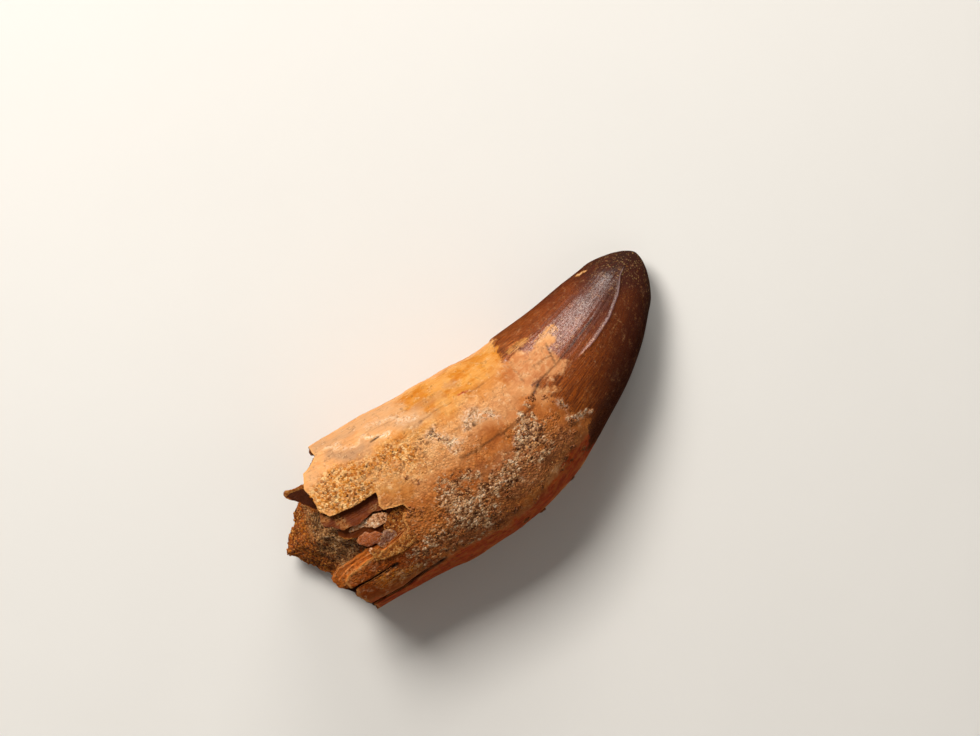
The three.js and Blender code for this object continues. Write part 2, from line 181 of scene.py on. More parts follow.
def rough_noise(points: Array, size: float, seed: int, octaves: int = 3) -> Array:
    """Add up noise at halving sizes.

    Args:
        points: Places, one row of three each.
        size: The width of the largest lumps.
        seed: Chooses the pattern.
        octaves: How many sizes are added.

    Returns:
        Numbers from about -1 to 1.
    """
    total = np.zeros(len(points))
    for octave in range(octaves):
        total += soft_noise(points, size / 2**octave, seed + octave) / 1.8**octave
    return total / 1.4


def grain_field(points: Array, size: float, seed: int) -> tuple[Array, Array]:
    """Find the nearest of many scattered grains.

    Args:
        points: Places, one row of three each.
        size: The spacing of the grains.
        seed: Chooses the set of grains.

    Returns:
        The distance to it in spacings, and its own number from 0 to 1.
    """
    scaled = points / size
    cell = np.floor(scaled).astype(np.int64)
    nearest = np.full(len(points), 9.0)
    tone = np.zeros(len(points))
    for step in itertools.product((-1, 0, 1), repeat=3):
        there = cell + np.array(step)
        jitter = np.stack([scatter_hash(there, seed + axis) for axis in range(3)], axis=1)
        distance = np.linalg.norm(there + jitter - scaled, axis=1)
        closer = distance < nearest
        nearest = np.where(closer, distance, nearest)
        tone = np.where(closer, jitter[:, 0], tone)
    return nearest, tone


def distance_to_path(points: Array, path: Array) -> tuple[Array, Array]:
    """Measure how far flat points are from a line of straight runs.

    Args:
        points: Flat places, one row of two each.
        path: The line's corners.

    Returns:
        The distances, and how far along the line, from 0 to 1, the nearest place is.
    """
    nearest = np.full(len(points), 1e9)
    share = np.zeros(len(points))
    runs = len(path) - 1
    for index in range(runs):
        start, run = path[index], path[index + 1] - path[index]
        offset = points - start
        t = np.clip(offset @ run / max(float(run @ run), 1e-12), 0.0, 1.0)
        distance = np.linalg.norm(offset - t[:, None] * run, axis=1)
        closer = distance < nearest
        nearest = np.where(closer, distance, nearest)
        share = np.where(closer, (index + t) / runs, share)
    return nearest, share


def inside_by(points: Array, outline: Sequence[Place]) -> Array:
    """Measure how deep inside a closed outline flat points lie.

    Args:
        points: Flat places, one row of two each.
        outline: The outline's corners.

    Returns:
        The distance to the outline, positive inside it.
    """
    corners = np.array([*outline, outline[0]], float)
    inside = np.zeros(len(points), bool)
    for (ax, ay), (bx, by) in itertools.pairwise(corners):
        if ay == by:
            continue
        spans = (points[:, 1] > min(ay, by)) & (points[:, 1] <= max(ay, by))
        reach = ax + (points[:, 1] - ay) * (bx - ax) / (by - ay)
        inside ^= spans & (points[:, 0] < reach)
    distance, _ = distance_to_path(points, corners)
    return np.where(inside, distance, -distance)


def kept_by(points: Array, edge: Sequence[Place]) -> Array:
    """Measure how far flat points lie on the kept side of a broken edge.

    Args:
        points: Flat places, one row of two each.
        edge: The broken edge, from the concave side to the convex side.

    Returns:
        The distance to the edge, positive where the wall is kept.
    """
    return -inside_by(points, [*edge, (-40.0, -14.0), (-40.0, 16.0)])


@dataclass(frozen=True)
class Spots:
    """Places on the tooth: how far along it, and the angle round it from the concave side."""

    along: Array
    angle: Array

    def __getitem__(self, chosen: Array) -> "Spots":
        """Return the chosen places."""
        return Spots(self.along[chosen], self.angle[chosen])


@dataclass(frozen=True)
class ToothForm:
    """The tooth's smooth form: a row of rounded sections that turn and shrink to the tip."""

    root_end: float = 3.0
    tip_start: float = 60.0
    tip_end: float = 64.0
    tip_power: float = 0.6
    tip_softness: float = 0.03
    root_until: float = 32.0
    crown_from: float = 46.0
    root_squareness: float = 2.3
    crown_squareness: float = 2.05
    wall_thickness: float = 2.9
    wall_at_cavity_end: float = 8.2
    cavity_taper_start: float = 14.0
    cavity_end: float = 31.0

    def station(self, column: int, along: Array) -> Array:
        """Read one column of the stations at any place, on a smooth curve.

        Args:
            column: The column of STATIONS.
            along: Places along the tooth.

        Returns:
            The column's values there.
        """
        place, value = STATIONS[:, 0], STATIONS[:, column]
        last = len(place) - 1
        i = np.clip(np.searchsorted(place, along, side="right") - 1, 0, last - 1)
        before, after = np.maximum(i - 1, 0), np.minimum(i + 2, last)
        step = place[i + 1] - place[i]
        slope_a = (value[i + 1] - value[before]) / (place[i + 1] - place[before])
        slope_b = (value[after] - value[i]) / (place[after] - place[i])
        t = (along - place[i]) / step
        return (
            (2 * t**3 - 3 * t**2 + 1) * value[i]
            + (t**3 - 2 * t**2 + t) * step * slope_a
            + (3 * t**2 - 2 * t**3) * value[i + 1]
            + (t**3 - t**2) * step * slope_b
        )

    def centre(self, along: Array) -> Array:
        """Return the section's centre at each place along the tooth."""
        return np.stack([self.station(column, along) for column in (1, 2, 3)], axis=-1)

    def side(self, along: Array) -> Array:
        """Return the direction towards the concave side at each place along the tooth."""
        turn = np.radians(self.station(4, along))
        return np.stack([-np.sin(turn), np.cos(turn), 0 * turn], axis=-1)

    def radius(self, along: Array) -> Array:
        """Return the section's mean radius at each place along the tooth."""
        held = np.clip(along, self.root_end, self.tip_end)
        return (self.station(5, held) + self.station(6, held)) / 2

    def unrolled(self, spots: Spots) -> Array:
        """Return flat places: distance along the tooth, and round it from the concave side."""
        return np.stack([spots.along, spots.angle * self.radius(spots.along)], axis=-1)

    def wall(self, along: Array) -> Array:
        """Return the wall's thickness, which grows where the pulp cavity narrows."""
        share = (along - self.cavity_taper_start) / (self.cavity_end - self.cavity_taper_start)
        return self.wall_thickness + (self.wall_at_cavity_end - self.wall_thickness) * np.clip(share, 0, 1)

    def skin(self, spots: Spots, inset: Array | float = 0.0) -> Array:
        """Find points of the surface, or of one at an even depth under it.

        Args:
            spots: Their places on the tooth.
            inset: Depth under the surface, negative above it.

        Returns:
            The points, in the tooth's own frame.
        """
        along = spots.along
        past = (along - self.tip_start) / (self.tip_end - self.tip_start)
        rounded = (past + np.sqrt(past**2 + self.tip_softness)) / (
            1.0 + math.sqrt(1.0 + self.tip_softness))
        taper = (1.0 - np.clip(rounded, 0, 1)) ** self.tip_power
        grade = ease(along, self.root_until, self.crown_from)
        squareness = self.root_squareness + grade * (self.crown_squareness - self.root_squareness)
        cosine, sine = np.cos(spots.angle), np.sin(spots.angle)
        across = np.sign(cosine) * np.abs(cosine) ** (2 / squareness)
        up = np.sign(sine) * np.abs(sine) ** (2 / squareness)
        across = across * (self.station(5, along) * taper - inset)
        up = up * (self.station(6, along) * taper - inset)
        point = self.centre(along) + self.side(along) * across[..., None]
        point[..., 2] += up
        return point

    def outward(self, spots: Spots) -> Array:
        """Return the unit directions that point away from the tooth's axis at the skin."""
        way = self.skin(spots, -1.0) - self.skin(spots, 0.0)
        return way / np.linalg.norm(way, axis=-1, keepdims=True)


FORM = ToothForm()


def line_on_skin(path: Sequence[Place]) -> Spots:
    """Return a line's (along, degrees) corners as places on the tooth."""
    along, degrees = np.array(path, float).T
    return Spots(along, np.radians(degrees))


@dataclass(frozen=True)
class Stain:
    """A soft-edged stain on the skin: a run from one (along, degrees) to another."""

    start: Place
    end: Place
    reach: float
    softness: float = 1.0
    strength: float = 1.0

    def shade(self, along: Array, degrees: Array) -> Array:
        """Grade how strongly the stain shows.

        Args:
            along: Places along the tooth, already warped by noise.
            degrees: Angles round the section, warped too.

        Returns:
            Numbers from 0 to the stain's strength.
        """
        middle = (self.start[1] + self.end[1]) / 2
        turned = (degrees - middle + 180.0) % 360.0 - 180.0 + middle
        ends = np.array([self.start, self.end]).T
        flat, line = (
            np.stack([x, angle * (np.radians(1.0) * FORM.radius(x))], axis=-1)
            for x, angle in ((along, turned), ends))
        distance, _ = distance_to_path(flat, line)
        low, high = self.reach - self.softness, self.reach + self.softness
        return self.strength * (1.0 - ease(distance, low, high))


# What covers each part of the skin: the start and end of each run, its reach, softness and strength.
STAINS: dict[str, list[Stain]] = {name: [Stain(*run) for run in runs] for name, runs in {
    "ochre": [
        ((27, 22), (42, 26), 2.2, 1.2), ((27, 42), (42, 46), 2.4, 1.2),
        ((21.5, 59), (28, 62), 1.0, 1.0, 0.7), ((28, 56), (41, 58), 1.2, 1.2, 0.75),
        ((18.5, 85), (22, 90), 0.8, 0.6, 0.6), ((10, 132), (15.8, 131.4), 0.08, 0.16, 0.9),
        ((17, -30), (24, -22), 2.6, 1.8, 0.6), ((33, -38), (40, -28), 2.6, 1.8, 0.8),
        ((28, 250), (40, 262), 4.0, 2.5, 0.8), ((18, 300), (30, 310), 3.0, 2.0, 0.6),
    ],
    "cream": [
        ((14, 18), (25, 24), 2.4, 1.4, 0.8), ((22, 34), (27, 48), 2.2, 1.4, 0.9),
        ((12.5, 44), (13.5, 54), 1.0, 1.0, 0.6), ((30, 72), (36, 78), 1.4, 1.6, 0.4),
        ((30, 84), (38, 83), 1.0, 1.0, 0.35), ((22, 320), (30, 338), 3.0, 2.0, 0.7),
    ],
    "rose": [
        ((34, 84), (41.5, 80), 2.4, 1.4, 0.6), ((42.5, 62), (46.5, 80), 2.4, 1.2),
        ((36, 122), (41, 116), 1.6, 1.5, 0.4), ((36, 218), (42, 240), 3.5, 2.0, 0.7),
        ((26, -10), (31, -6), 1.6, 1.4, 0.5),
    ],
    "brown": [
        ((18, 98), (26, 98), 1.6, 1.4, 0.8), ((10, 124), (42, 120), 4.4, 1.4, 0.95),
        ((12, 140), (34, 136), 2.6, 1.4), ((40, 92), (42.5, 104), 1.4, 1.0, 0.9),
        ((36.5, 58), (41.5, 59), 0.9, 0.8, 0.55), ((16, 84), (19, 88), 1.0, 0.8, 0.4),
        ((14, 200), (40, 205), 4.0, 3.0, 0.8), ((14, -50), (24, -46), 2.0, 1.8, 0.6),
        ((36, 0), (41, -8), 1.2, 1.2, 0.5),
    ],
    "rust": [
        ((7, 134), (19, 133), 3.0, 1.6), ((11, 118), (16, 118), 1.0, 0.9, 0.8),
        ((19, 133), (31, 137), 1.8, 1.6, 0.45),
    ],
    "crust": [
        ((39.4, 97), (37.0, 104), 1.0, 0.7), ((34.5, 108), (38, 118), 0.9, 0.9, 0.55),
        ((26.6, 110), (28.6, 128), 1.6, 1.1), ((25.5, 98), (29.5, 99), 0.8, 0.8, 0.6),
        ((30.4, 112), (34, 112), 1.2, 0.9, 0.75), ((28.0, 72), (30.0, 78), 0.6, 0.8, 0.4),
        ((33.2, 74), (36.0, 76), 0.6, 0.8, 0.36), ((43.3, 106), (43.9, 110), 0.3, 0.5, 0.6),
        ((43.4, 122), (44.6, 130), 0.4, 0.5, 0.65), ((20, 124), (25, 121), 1.2, 1.0, 0.6),
        ((17, 137), (27, 141), 0.9, 0.9, 0.4), ((24, 290), (32, 276), 3.0, 2.0, 0.8),
        ((16, 236), (24, 225), 2.5, 1.8, 0.7), ((18, -16), (21, -12), 0.8, 1.0, 0.5),
        ((31, 192), (36, 196), 0.8, 1.0, 0.6),
    ],
    "roe": [
        ((12.8, 60), (18, 58), 0.9, 0.6, 0.9), ((12.0, 72), (18, 68), 1.5, 0.6),
        ((13, 78), (19, 79), 0.8, 0.6), ((18, 65), (24, 69), 1.2, 0.8, 0.9),
        ((20, 77), (25, 79), 1.3, 1.0, 0.5), ((14, 136), (18, 140), 1.0, 0.8, 0.5),
    ],
    "grain": [
        ((26, 112), (30, 128), 3.0, 1.6), ((37, 99), (40, 103), 1.6, 1.2),
        ((32, 112), (37, 116), 1.6, 1.2, 0.9), ((34, 124), (40, 124), 2.4, 1.4, 0.7),
        ((14, 122), (24, 126), 3.6, 1.6, 0.85), ((18, 100), (25, 102), 2.0, 1.6, 0.6),
        ((24, 80), (31, 88), 2.4, 1.8, 0.5), ((26, 66), (38, 70), 1.6, 1.6, 0.4),
        ((12, 68), (26, 70), 2.0, 1.2, 0.8), ((44.0, 106), (44.4, 128), 1.0, 0.8, 0.6),
        ((14, 250), (38, 250), 7.0, 2.4, 0.7),
    ],
    "umber": [
        ((33, 122), (40.5, 126), 2.0, 1.6, 0.8), ((30.5, 98), (36, 107), 0.9, 0.8, 0.7),
        ((24, 133), (31, 133), 1.6, 1.2, 0.7), ((27, 116), (29, 122), 1.2, 1.0, 0.6),
        ((29, -48), (34, -42), 1.6, 1.4, 0.5),
    ],
    "ash": [
        ((16, 40), (19.5, 51), 1.1, 0.9), ((28, 41), (32, 44), 0.8, 0.8, 0.45),
        ((33.6, 38), (35, 42), 0.6, 0.6, 0.55), ((15, 22), (19, 30), 0.9, 0.8, 0.5),
        ((25, 56), (29, 55), 0.5, 0.6, 0.4),
    ],
    "chalk": [
        ((15.5, 31), (17, 34), 0.2, 0.4, 0.6), ((17, 34), (18.7, 41), 0.1, 0.35, 0.5),
        ((18.7, 41), (21.2, 47), 0.1, 0.3, 0.55), ((21.3, 49), (23, 52), 0.3, 0.3, 0.7),
        ((21.5, 34), (25, 38), 0.5, 0.7, 0.35), ((24.8, 44), (27, 50), 0.5, 0.6, 0.45),
        ((27.6, 70), (30.2, 79), 0.6, 0.6, 0.6), ((32.6, 73), (36.2, 77), 0.6, 0.6, 0.5),
        ((36.4, 99), (39.6, 99), 0.5, 0.5, 0.6), ((43.2, 106), (43.8, 111), 0.4, 0.4, 0.5),
        ((43.2, 121), (44.4, 131), 0.4, 0.4, 0.5),
    ],
    "ruby": [
        ((34.4, 51), (35.4, 51.5), 0.16, 0.14),
    ],
    "bare": [
        ((43.5, 62), (45.6, 78), 1.5, 0.8), ((45.0, 70), (48.0, 68), 0.8, 0.7, 0.9),
        ((42.8, 86), (44.2, 96), 0.7, 0.7, 0.6), ((43.3, 106), (43.8, 112), 0.4, 0.3),
        ((43.2, 122), (44.6, 131), 0.5, 0.4),
    ],
    # The smooth convex band; its colour also carries painted red bounce light.
    "polish": [
        ((10, 168), (24, 163), 2.6, 0.8), ((22, 162), (32, 163), 2.6, 0.9),
        ((32, 162), (42, 160), 2.3, 0.9, 0.95), ((14, 182), (20, 180), 1.4, 1.4, 0.7),
    ],
    "honey": [
        ((47.6, 60), (50.0, 59), 0.6, 0.4), ((47.0, 70), (48.4, 56), 0.35, 0.3, 0.9),
        ((44.0, 47), (46.5, 49), 0.5, 0.4, 0.7), ((46.0, 84), (47.4, 74), 0.3, 0.3, 0.8),
        ((57.6, 19), (57.9, 25), 0.2, 0.2, 1.5), ((58.2, 24), (58.7, 30), 0.14, 0.2, 1.5),
    ],
    "ember": [
        ((45, 104), (52, 112), 2.2, 1.6), ((44, 120), (47, 124), 2.0, 1.6, 0.8),
        ((53, 110), (59, 108), 0.9, 0.7, 0.7), ((43, 30), (50, 30), 2.6, 1.6, 0.8),
        ((50, 44), (56, 36), 1.2, 1.2, 0.5), ((46, 230), (54, 240), 2.5, 2.0, 0.7),
    ],
    "mauve": [
        ((44, 166), (54, 158), 3.4, 1.8), ((50, 150), (61, 140), 3.6, 2.4),
        ((50, 126), (61, 118), 2.0, 1.8, 0.7), ((48, 200), (60, 200), 3.0, 2.0, 0.8),
    ],
}.items()}
# Short cracks and slits in the skin, dug into its relief and filled with painted shade: runs of
# (along, degrees), the line's half width, and how dark the painted shade is.
HAIRLINES: list[tuple[list[Place], float, float]] = [
    ([(29.8, 88.6), (32, 89.6), (34.1, 89), (36.8, 90.4), (39, 91), (41, 91.6)], 0.06, 0.7),
    ([(41.4, 86.6), (42.4, 85.4), (43.2, 84.4)], 0.12, 1.0),
    ([(20.8, 48.8), (21.9, 48.2)], 0.12, 1.0),
    ([(44.8, 72), (46.0, 74), (47.0, 76.5)], 0.05, 0.5),
    ([(46.6, 84), (47.2, 76), (47.9, 66)], 0.05, 0.8),
    ([(43.4, 83), (46.6, 84.6), (50, 84), (54, 84.6)], 0.05, 0.8),
    ([(42.4, 56), (42.6, 66), (42.2, 76)], 0.04, 0.4),
    ([(27.4, 55), (30, 53), (32.6, 54)], 0.05, 0.4),
    ([(35.6, 55), (38.4, 54.4)], 0.05, 0.4),
    ([(10, 128.6), (13, 129), (16.6, 128)], 0.28, 1.1),
    ([(10, 157), (16, 155), (18.5, 151), (22, 145.6)], 0.42, 1.1),
    ([(14.0, 34), (20.0, 38), (25.5, 41)], 0.03, 0.3),
]


@dataclass
class Sheet:
    """Triangles in two parameters, trimmed along a line, and the sides that lie on that line."""

    first: Array
    second: Array
    triangles: Array
    rim: Array

    @property
    def spots(self) -> Spots:
        """The sheet's points as places on the tooth."""
        return Spots(self.first, self.second)


def open_sides(triangles: Array) -> Array:
    """Find the sides that only one triangle has.

    Args:
        triangles: Rows of three corner indices.

    Returns:
        The sides as rows of two corners, with their triangle on the left.
    """
    sides = np.concatenate([triangles[:, [0, 1]], triangles[:, [1, 2]], triangles[:, [2, 0]]])
    size = int(triangles.max()) + 1
    there = sides[:, 0] * size + sides[:, 1]
    back = sides[:, 1] * size + sides[:, 0]
    return sides[~np.isin(there, back)]


def trim(first: Array, second: Array, kept: Array, period: float = 0.0) -> Sheet:
    """Cut a grid along the zero line of a field, by sliding its nearest points onto that line.

    Args:
        first: First parameter of the grid's points, rows by columns.
        second: Second parameter, which grows with the column.
        kept: The field, positive where the sheet stays.
        period: Length after which the second parameter repeats, or 0 if it doesn't.

    Returns:
        What stays of the grid.
    """
    rows, columns = kept.shape
    places = np.stack([first, second])
    slide, hits = np.zeros(places.shape), np.zeros(kept.shape)
    for axis in (0, 1):
        next_kept, following = np.roll(kept, -1, axis), np.roll(places, -1, axis + 1)
        crossing = (kept > 0) != (next_kept > 0)
        if axis == 0:
            crossing[-1] = False
        elif period:
            following[1, :, -1] += period
        else:
            crossing[:, -1] = False
        share = np.where(crossing, kept / np.where(crossing, kept - next_kept, 1.0), 0.0)
        near = crossing & (share <= 0.5)
        far = crossing & ~near
        slide += near * share * (following - places)
        slide += np.roll(far * (share - 1.0) * (following - places), 1, axis + 1)
        hits += near.astype(float) + np.roll(far, 1, axis)
    state = np.where(hits > 0, 0, np.where(kept > 0, 1, -1)).ravel()
    places = (places + slide / np.maximum(hits, 1)).reshape(2, -1)
    index = np.arange(rows * columns).reshape(rows, columns)
    ahead = np.roll(index, -1, axis=1)
    last = columns if period else columns - 1
    corners = [index[:-1], ahead[:-1], ahead[1:], index[1:]]
    cells = np.stack([corner[:, :last].ravel() for corner in corners], axis=1)
    states = state[cells]
    lost, solid = (states < 0).sum(axis=1), (states > 0).sum(axis=1)
    middle = kept.ravel()[cells].mean(axis=1)
    whole = cells[(lost == 0) & ((solid > 0) | (middle > 0))]
    leaning = (whole[:, 0] + whole[:, 0] // columns) % 2 == 0
    found = [whole[leaning][:, [0, 1, 2]], whole[leaning][:, [0, 2, 3]]]
    found += [whole[~leaning][:, [0, 1, 3]], whole[~leaning][:, [1, 2, 3]]]
    for missing in range(4):
        cut = cells[(lost == 1) & (solid > 0) & (states[:, missing] < 0)]
        found.append(cut[:, [(missing + step) % 4 for step in (1, 2, 3)]])
    used, packed = np.unique(np.concatenate(found), return_inverse=True)
    triangles = packed.reshape(-1, 3)
    rim = open_sides(triangles)
    rim = rim[(state[used][rim] == 0).all(axis=1)]
    return Sheet(*places[:, used], triangles, rim)


@dataclass
class Shape:
    """Points and triangles in millimetres, with named values at the points."""

    points: Array
    triangles: Array
    values: dict[str, Array] = field(default_factory=dict)

    @classmethod
    def joined(cls, parts: list["Shape"]) -> "Shape":
        """Put several shapes into one.

        Args:
            parts: The shapes. A value that one of them lacks is 0 there.

        Returns:
            The joined shape.
        """
        values = {}
        for name in sorted({name for part in parts for name in part.values}):
            sample = next(part.values[name] for part in parts if name in part.values)
            values[name] = np.concatenate([
                part.values.get(name, np.zeros((len(part.points), *sample.shape[1:])))
                for part in parts
            ])
        starts = np.cumsum([0, *[len(part.points) for part in parts[:-1]]])
        triangles = [part.triangles + start for part, start in zip(parts, starts)]
        points = np.concatenate([part.points for part in parts])
        return cls(points, np.concatenate(triangles), values)

    def normals(self) -> Array:
        """Average the directions of the triangles round each point.

        Returns:
            One unit normal for each point.
        """
        a, b, c = (self.points[self.triangles[:, corner]] for corner in range(3))
        flat = np.cross(b - a, c - a)
        total = np.zeros_like(self.points)
        for corner in range(3):
            np.add.at(total, self.triangles[:, corner], flat)
        return total / np.maximum(np.linalg.norm(total, axis=1, keepdims=True), 1e-12)

    def piece(
        self, name: str, finish: bpy.types.Material, node: str, slot: str
    ) -> bpy.types.Object:
        """Make the Blender object, resting on the floor and riding on the part.

        Args:
            name: The piece's name.
            finish: Its material.
            node: The solid that it stands for.
            slot: The name of a material slot; not used.

        Returns:
            The new object.
        """
        points = (self.points + CENTRING) * METRES
        points[:, 2] = np.maximum(points[:, 2], 0.0)
        count = len(self.triangles)
        mesh = bpy.data.meshes.new(name)
        mesh.vertices.add(len(points))
        mesh.vertices.foreach_set("co", points.astype(np.float32).ravel())
        mesh.loops.add(3 * count)
        mesh.loops.foreach_set("vertex_index", self.triangles.astype(np.int32).ravel())
        mesh.polygons.add(count)
        mesh.polygons.foreach_set("loop_start", np.arange(0, 3 * count, 3, dtype=np.int32))
        mesh.update(calc_edges=True)
        mesh.polygons.foreach_set("use_smooth", np.ones(count, bool))
        for key, value in self.values.items():
            kind, channel = ("FLOAT", "value") if value.ndim == 1 else ("FLOAT_VECTOR", "vector")
            layer = mesh.attributes.new(key, kind, "POINT")
            layer.data.foreach_set(channel, value.astype(np.float32).ravel())
        mesh.materials.append(finish)
        made = bpy.data.objects.new(name, mesh)
        bpy.context.scene.collection.objects.link(made)
        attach(made, "root")
        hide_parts(node)
        log.info("%s: %d points, %d triangles", name, len(points), count)
        return made


def wall_along(
    rim: Array, top: Array, bottom: Array, facing: Array, levels: int, rough: float, seed: int
) -> tuple[Shape, Array, Array]:
    """Stand a broken face between two matching borders.

    Args:
        rim: Sides of the border, as rows of two point indices.
        top: The upper border's points, by those indices.
        bottom: The lower border's points.
        facing: Unit normals of the surface at those points.
        levels: How many rows of faces it has.
        rough: How far its lumps and splits stand out.
        seed: Chooses their pattern.

    Returns:
        The face, the border point that each of its points comes from, and how far down it
        lies, from 0 at the top to 1.
    """
    used, sides = np.unique(rim, return_inverse=True)
    sides = sides.reshape(-1, 2)
    high, low, up = top[used], bottom[used], facing[used]
    run = high[sides[:, 1]] - high[sides[:, 0]]
    away = np.zeros_like(high)
    for end in (0, 1):
        np.add.at(away, sides[:, end], np.cross(run, up[sides[:, end]]))
    away /= np.maximum(np.linalg.norm(away, axis=1, keepdims=True), 1e-9)
    rows, shares = [], np.linspace(0.0, 1.0, levels + 1)
    for share in shares:
        row = high + share * (low - high)
        belly = math.sin(math.pi * min(1.0, share * 1.3)) ** 0.5 if 0 < share < 1 else 0.0
        lamina = soft_noise(row * [0.15, 0.15, 5.0], 1.0, seed + 3)
        depth = rough_noise(row, 0.5, seed) + 0.7 * lamina
        rows.append(row + away * (rough * belly * depth)[:, None])
    count = len(used)
    triangles = []
    for level in range(levels):
        a, b = sides[:, 0] + level * count, sides[:, 1] + level * count
        c, d = a + count, b + count
        triangles += [np.stack([b, a, c], axis=1), np.stack([b, c, d], axis=1)]
    shape = Shape(np.concatenate(rows), np.concatenate(triangles))
    return shape, np.tile(used, levels + 1), np.repeat(shares, count)


@dataclass(frozen=True)
class Crack:
    """A crack that runs up the wall from the break, through (along, degrees) places."""

    path: tuple[Place, ...]
    width: float
    depth: float

    def clearance(self, spots: Spots, depth: float) -> Array:
        """Measure how far the wall is from the crack.

        Args:
            spots: Places on the tooth.
            depth: Depth under the surface, where the crack is narrower.

        Returns:
            The distance, negative inside the crack.
        """
        line = FORM.unrolled(line_on_skin(self.path))
        distance, share = distance_to_path(FORM.unrolled(spots), line)
        narrowed = max(0.0, 1.0 - depth / self.depth)
        return distance - self.width / 2 * narrowed * (1.0 - 0.8 * share**1.5)


CRACKS = (
    Crack(((7, 129), (11, 128.6), (16, 128)), 0.74, 2.6),
    Crack(((8, 158), (12, 156), (16, 154.5), (20.5, 147.5)), 0.8, 2.4),
)


@dataclass(frozen=True)
class SkinGrid:
    """The grid of points that the skin and the layers of the wall share."""

    start: float = 3.4
    fine_until: float = 23.0
    fine_row: float = 0.15
    row: float = 0.225
    rows_until: float = 61.7
    tip_rows: int = 17
    tip_widths: Span = (0.7, 0.02)
    top_columns: int = 220
    bottom_columns: int = 66
    top_angles: Span = (-12.0, 192.0)
    mid_height: float = 9.6
    mid_band: float = 0.3

    def alongs(self) -> Array:
        """Space out the rows, close together near the break and at the tip.

        Returns:
            The grid's places along the tooth.
        """
        fine = np.arange(self.start, self.fine_until, self.fine_row)
        coarse = np.arange(self.fine_until, self.rows_until, self.row)
        shares = 1.0 - np.linspace(*self.tip_widths, self.tip_rows) ** (1 / FORM.tip_power)
        tip = FORM.tip_start + (FORM.tip_end - FORM.tip_start) * shares
        return np.concatenate([fine, coarse, tip])

    def angles(self) -> Array:
        """Space out the columns, close together over the top.

        Returns:
            The grid's angles.
        """
        low, high = np.radians(self.top_angles)
        top = np.linspace(low, high, self.top_columns, endpoint=False)
        bottom = np.linspace(high, low + FULL_TURN, self.bottom_columns, endpoint=False)
        return np.concatenate([top, bottom])

    def mesh(self, until: float) -> Spots:
        """Return the grid's places on the tooth, up to one along it."""
        alongs = self.alongs()
        return Spots(*np.meshgrid(alongs[alongs <= until], self.angles(), indexing="ij"))


GRID = SkinGrid()


@dataclass(frozen=True)
class Layer:
    """One layer of the root's wall, between two depths, with its own broken edge."""

    edge: list[Place]
    outer: float
    inner: float
    ragged: float
    seed: int
    setback: float = 0.0

    def kept(self, spots: Spots) -> Array:
        """Measure how far places lie on the kept side of the layer's edge and of the cracks.

        Args:
            spots: Places on the tooth.

        Returns:
            The distances, and 9 far from the break.
        """
        distance = np.full(spots.along.shape, 9.0)
        near = spots.along < GRID.fine_until
        point = FORM.skin(spots[near], self.outer)
        upper = kept_by(point[:, :2], self.edge) - self.setback
        lower = kept_by(point[:, :2], LOWER_WALL_EDGE)
        share = ease(point[:, 2], GRID.mid_height - GRID.mid_band, GRID.mid_height + GRID.mid_band)
        kept = share * upper + (1.0 - share) * lower
        kept = kept + self.ragged * rough_noise(point, 1.1, self.seed)
        kept = kept + 0.4 * self.ragged * soft_noise(point, 0.3, self.seed + 5)
        for crack in CRACKS:
            wander = 0.05 * rough_noise(point, 0.6, self.seed + 9)
            kept = np.minimum(kept, crack.clearance(spots[near], self.outer) + wander)
        distance[near] = kept
        return distance

    def sheet(self, until: float) -> Sheet:
        """Cut the layer's sheet out of the grid, up to a place along the tooth."""
        spots = GRID.mesh(until)
        return trim(spots.along, spots.angle, self.kept(spots), FULL_TURN)


LAYERS = (
    Layer(OUTER_EDGE, 0.0, 0.42, 0.09, 11),
    Layer(OUTER_EDGE, 0.42, 0.8, 0.14, 12, 0.06),
    Layer(PARTING_EDGE, 0.8, 1.1, 0.12, 13),
    Layer(MIDDLE_EDGE, 1.1, 1.5, 0.12, 14),
    Layer(MIDDLE_EDGE, 1.5, 1.9, 0.16, 15, 0.12),
    Layer(INNER_EDGE, 1.9, 2.4, 0.14, 16),
    Layer(INNER_EDGE, 2.4, 2.9, 0.18, 17, 0.1),
)


def enamel_reach(spots: Spots) -> Array:
    """Measure how far past the enamel's edge places are.

    Args:
        spots: Places on the tooth.

    Returns:
        The distances, positive on the crown.
    """
    degrees = (np.degrees(spots.angle) + 90.0) % 360.0 - 90.0
    angles, edge = np.array(ENAMEL_LINE, float).T
    return spots.along - np.interp(degrees, angles, edge)


def flow_of(spots: Spots, depth: Array | float = 0.0) -> Array:
    """Return places as length along the tooth, girth and depth, for grain that follows it."""
    return np.stack([spots.along, spots.angle * 10.0, spots.along * 0.0 + depth], axis=-1)


def fibre_noise(flow: Array, slowness: float, size: float, seed: int) -> Array:
    """Return noise drawn out along the tooth."""
    return soft_noise(flow * np.array([slowness, 1.0, 1.0]), size, seed)


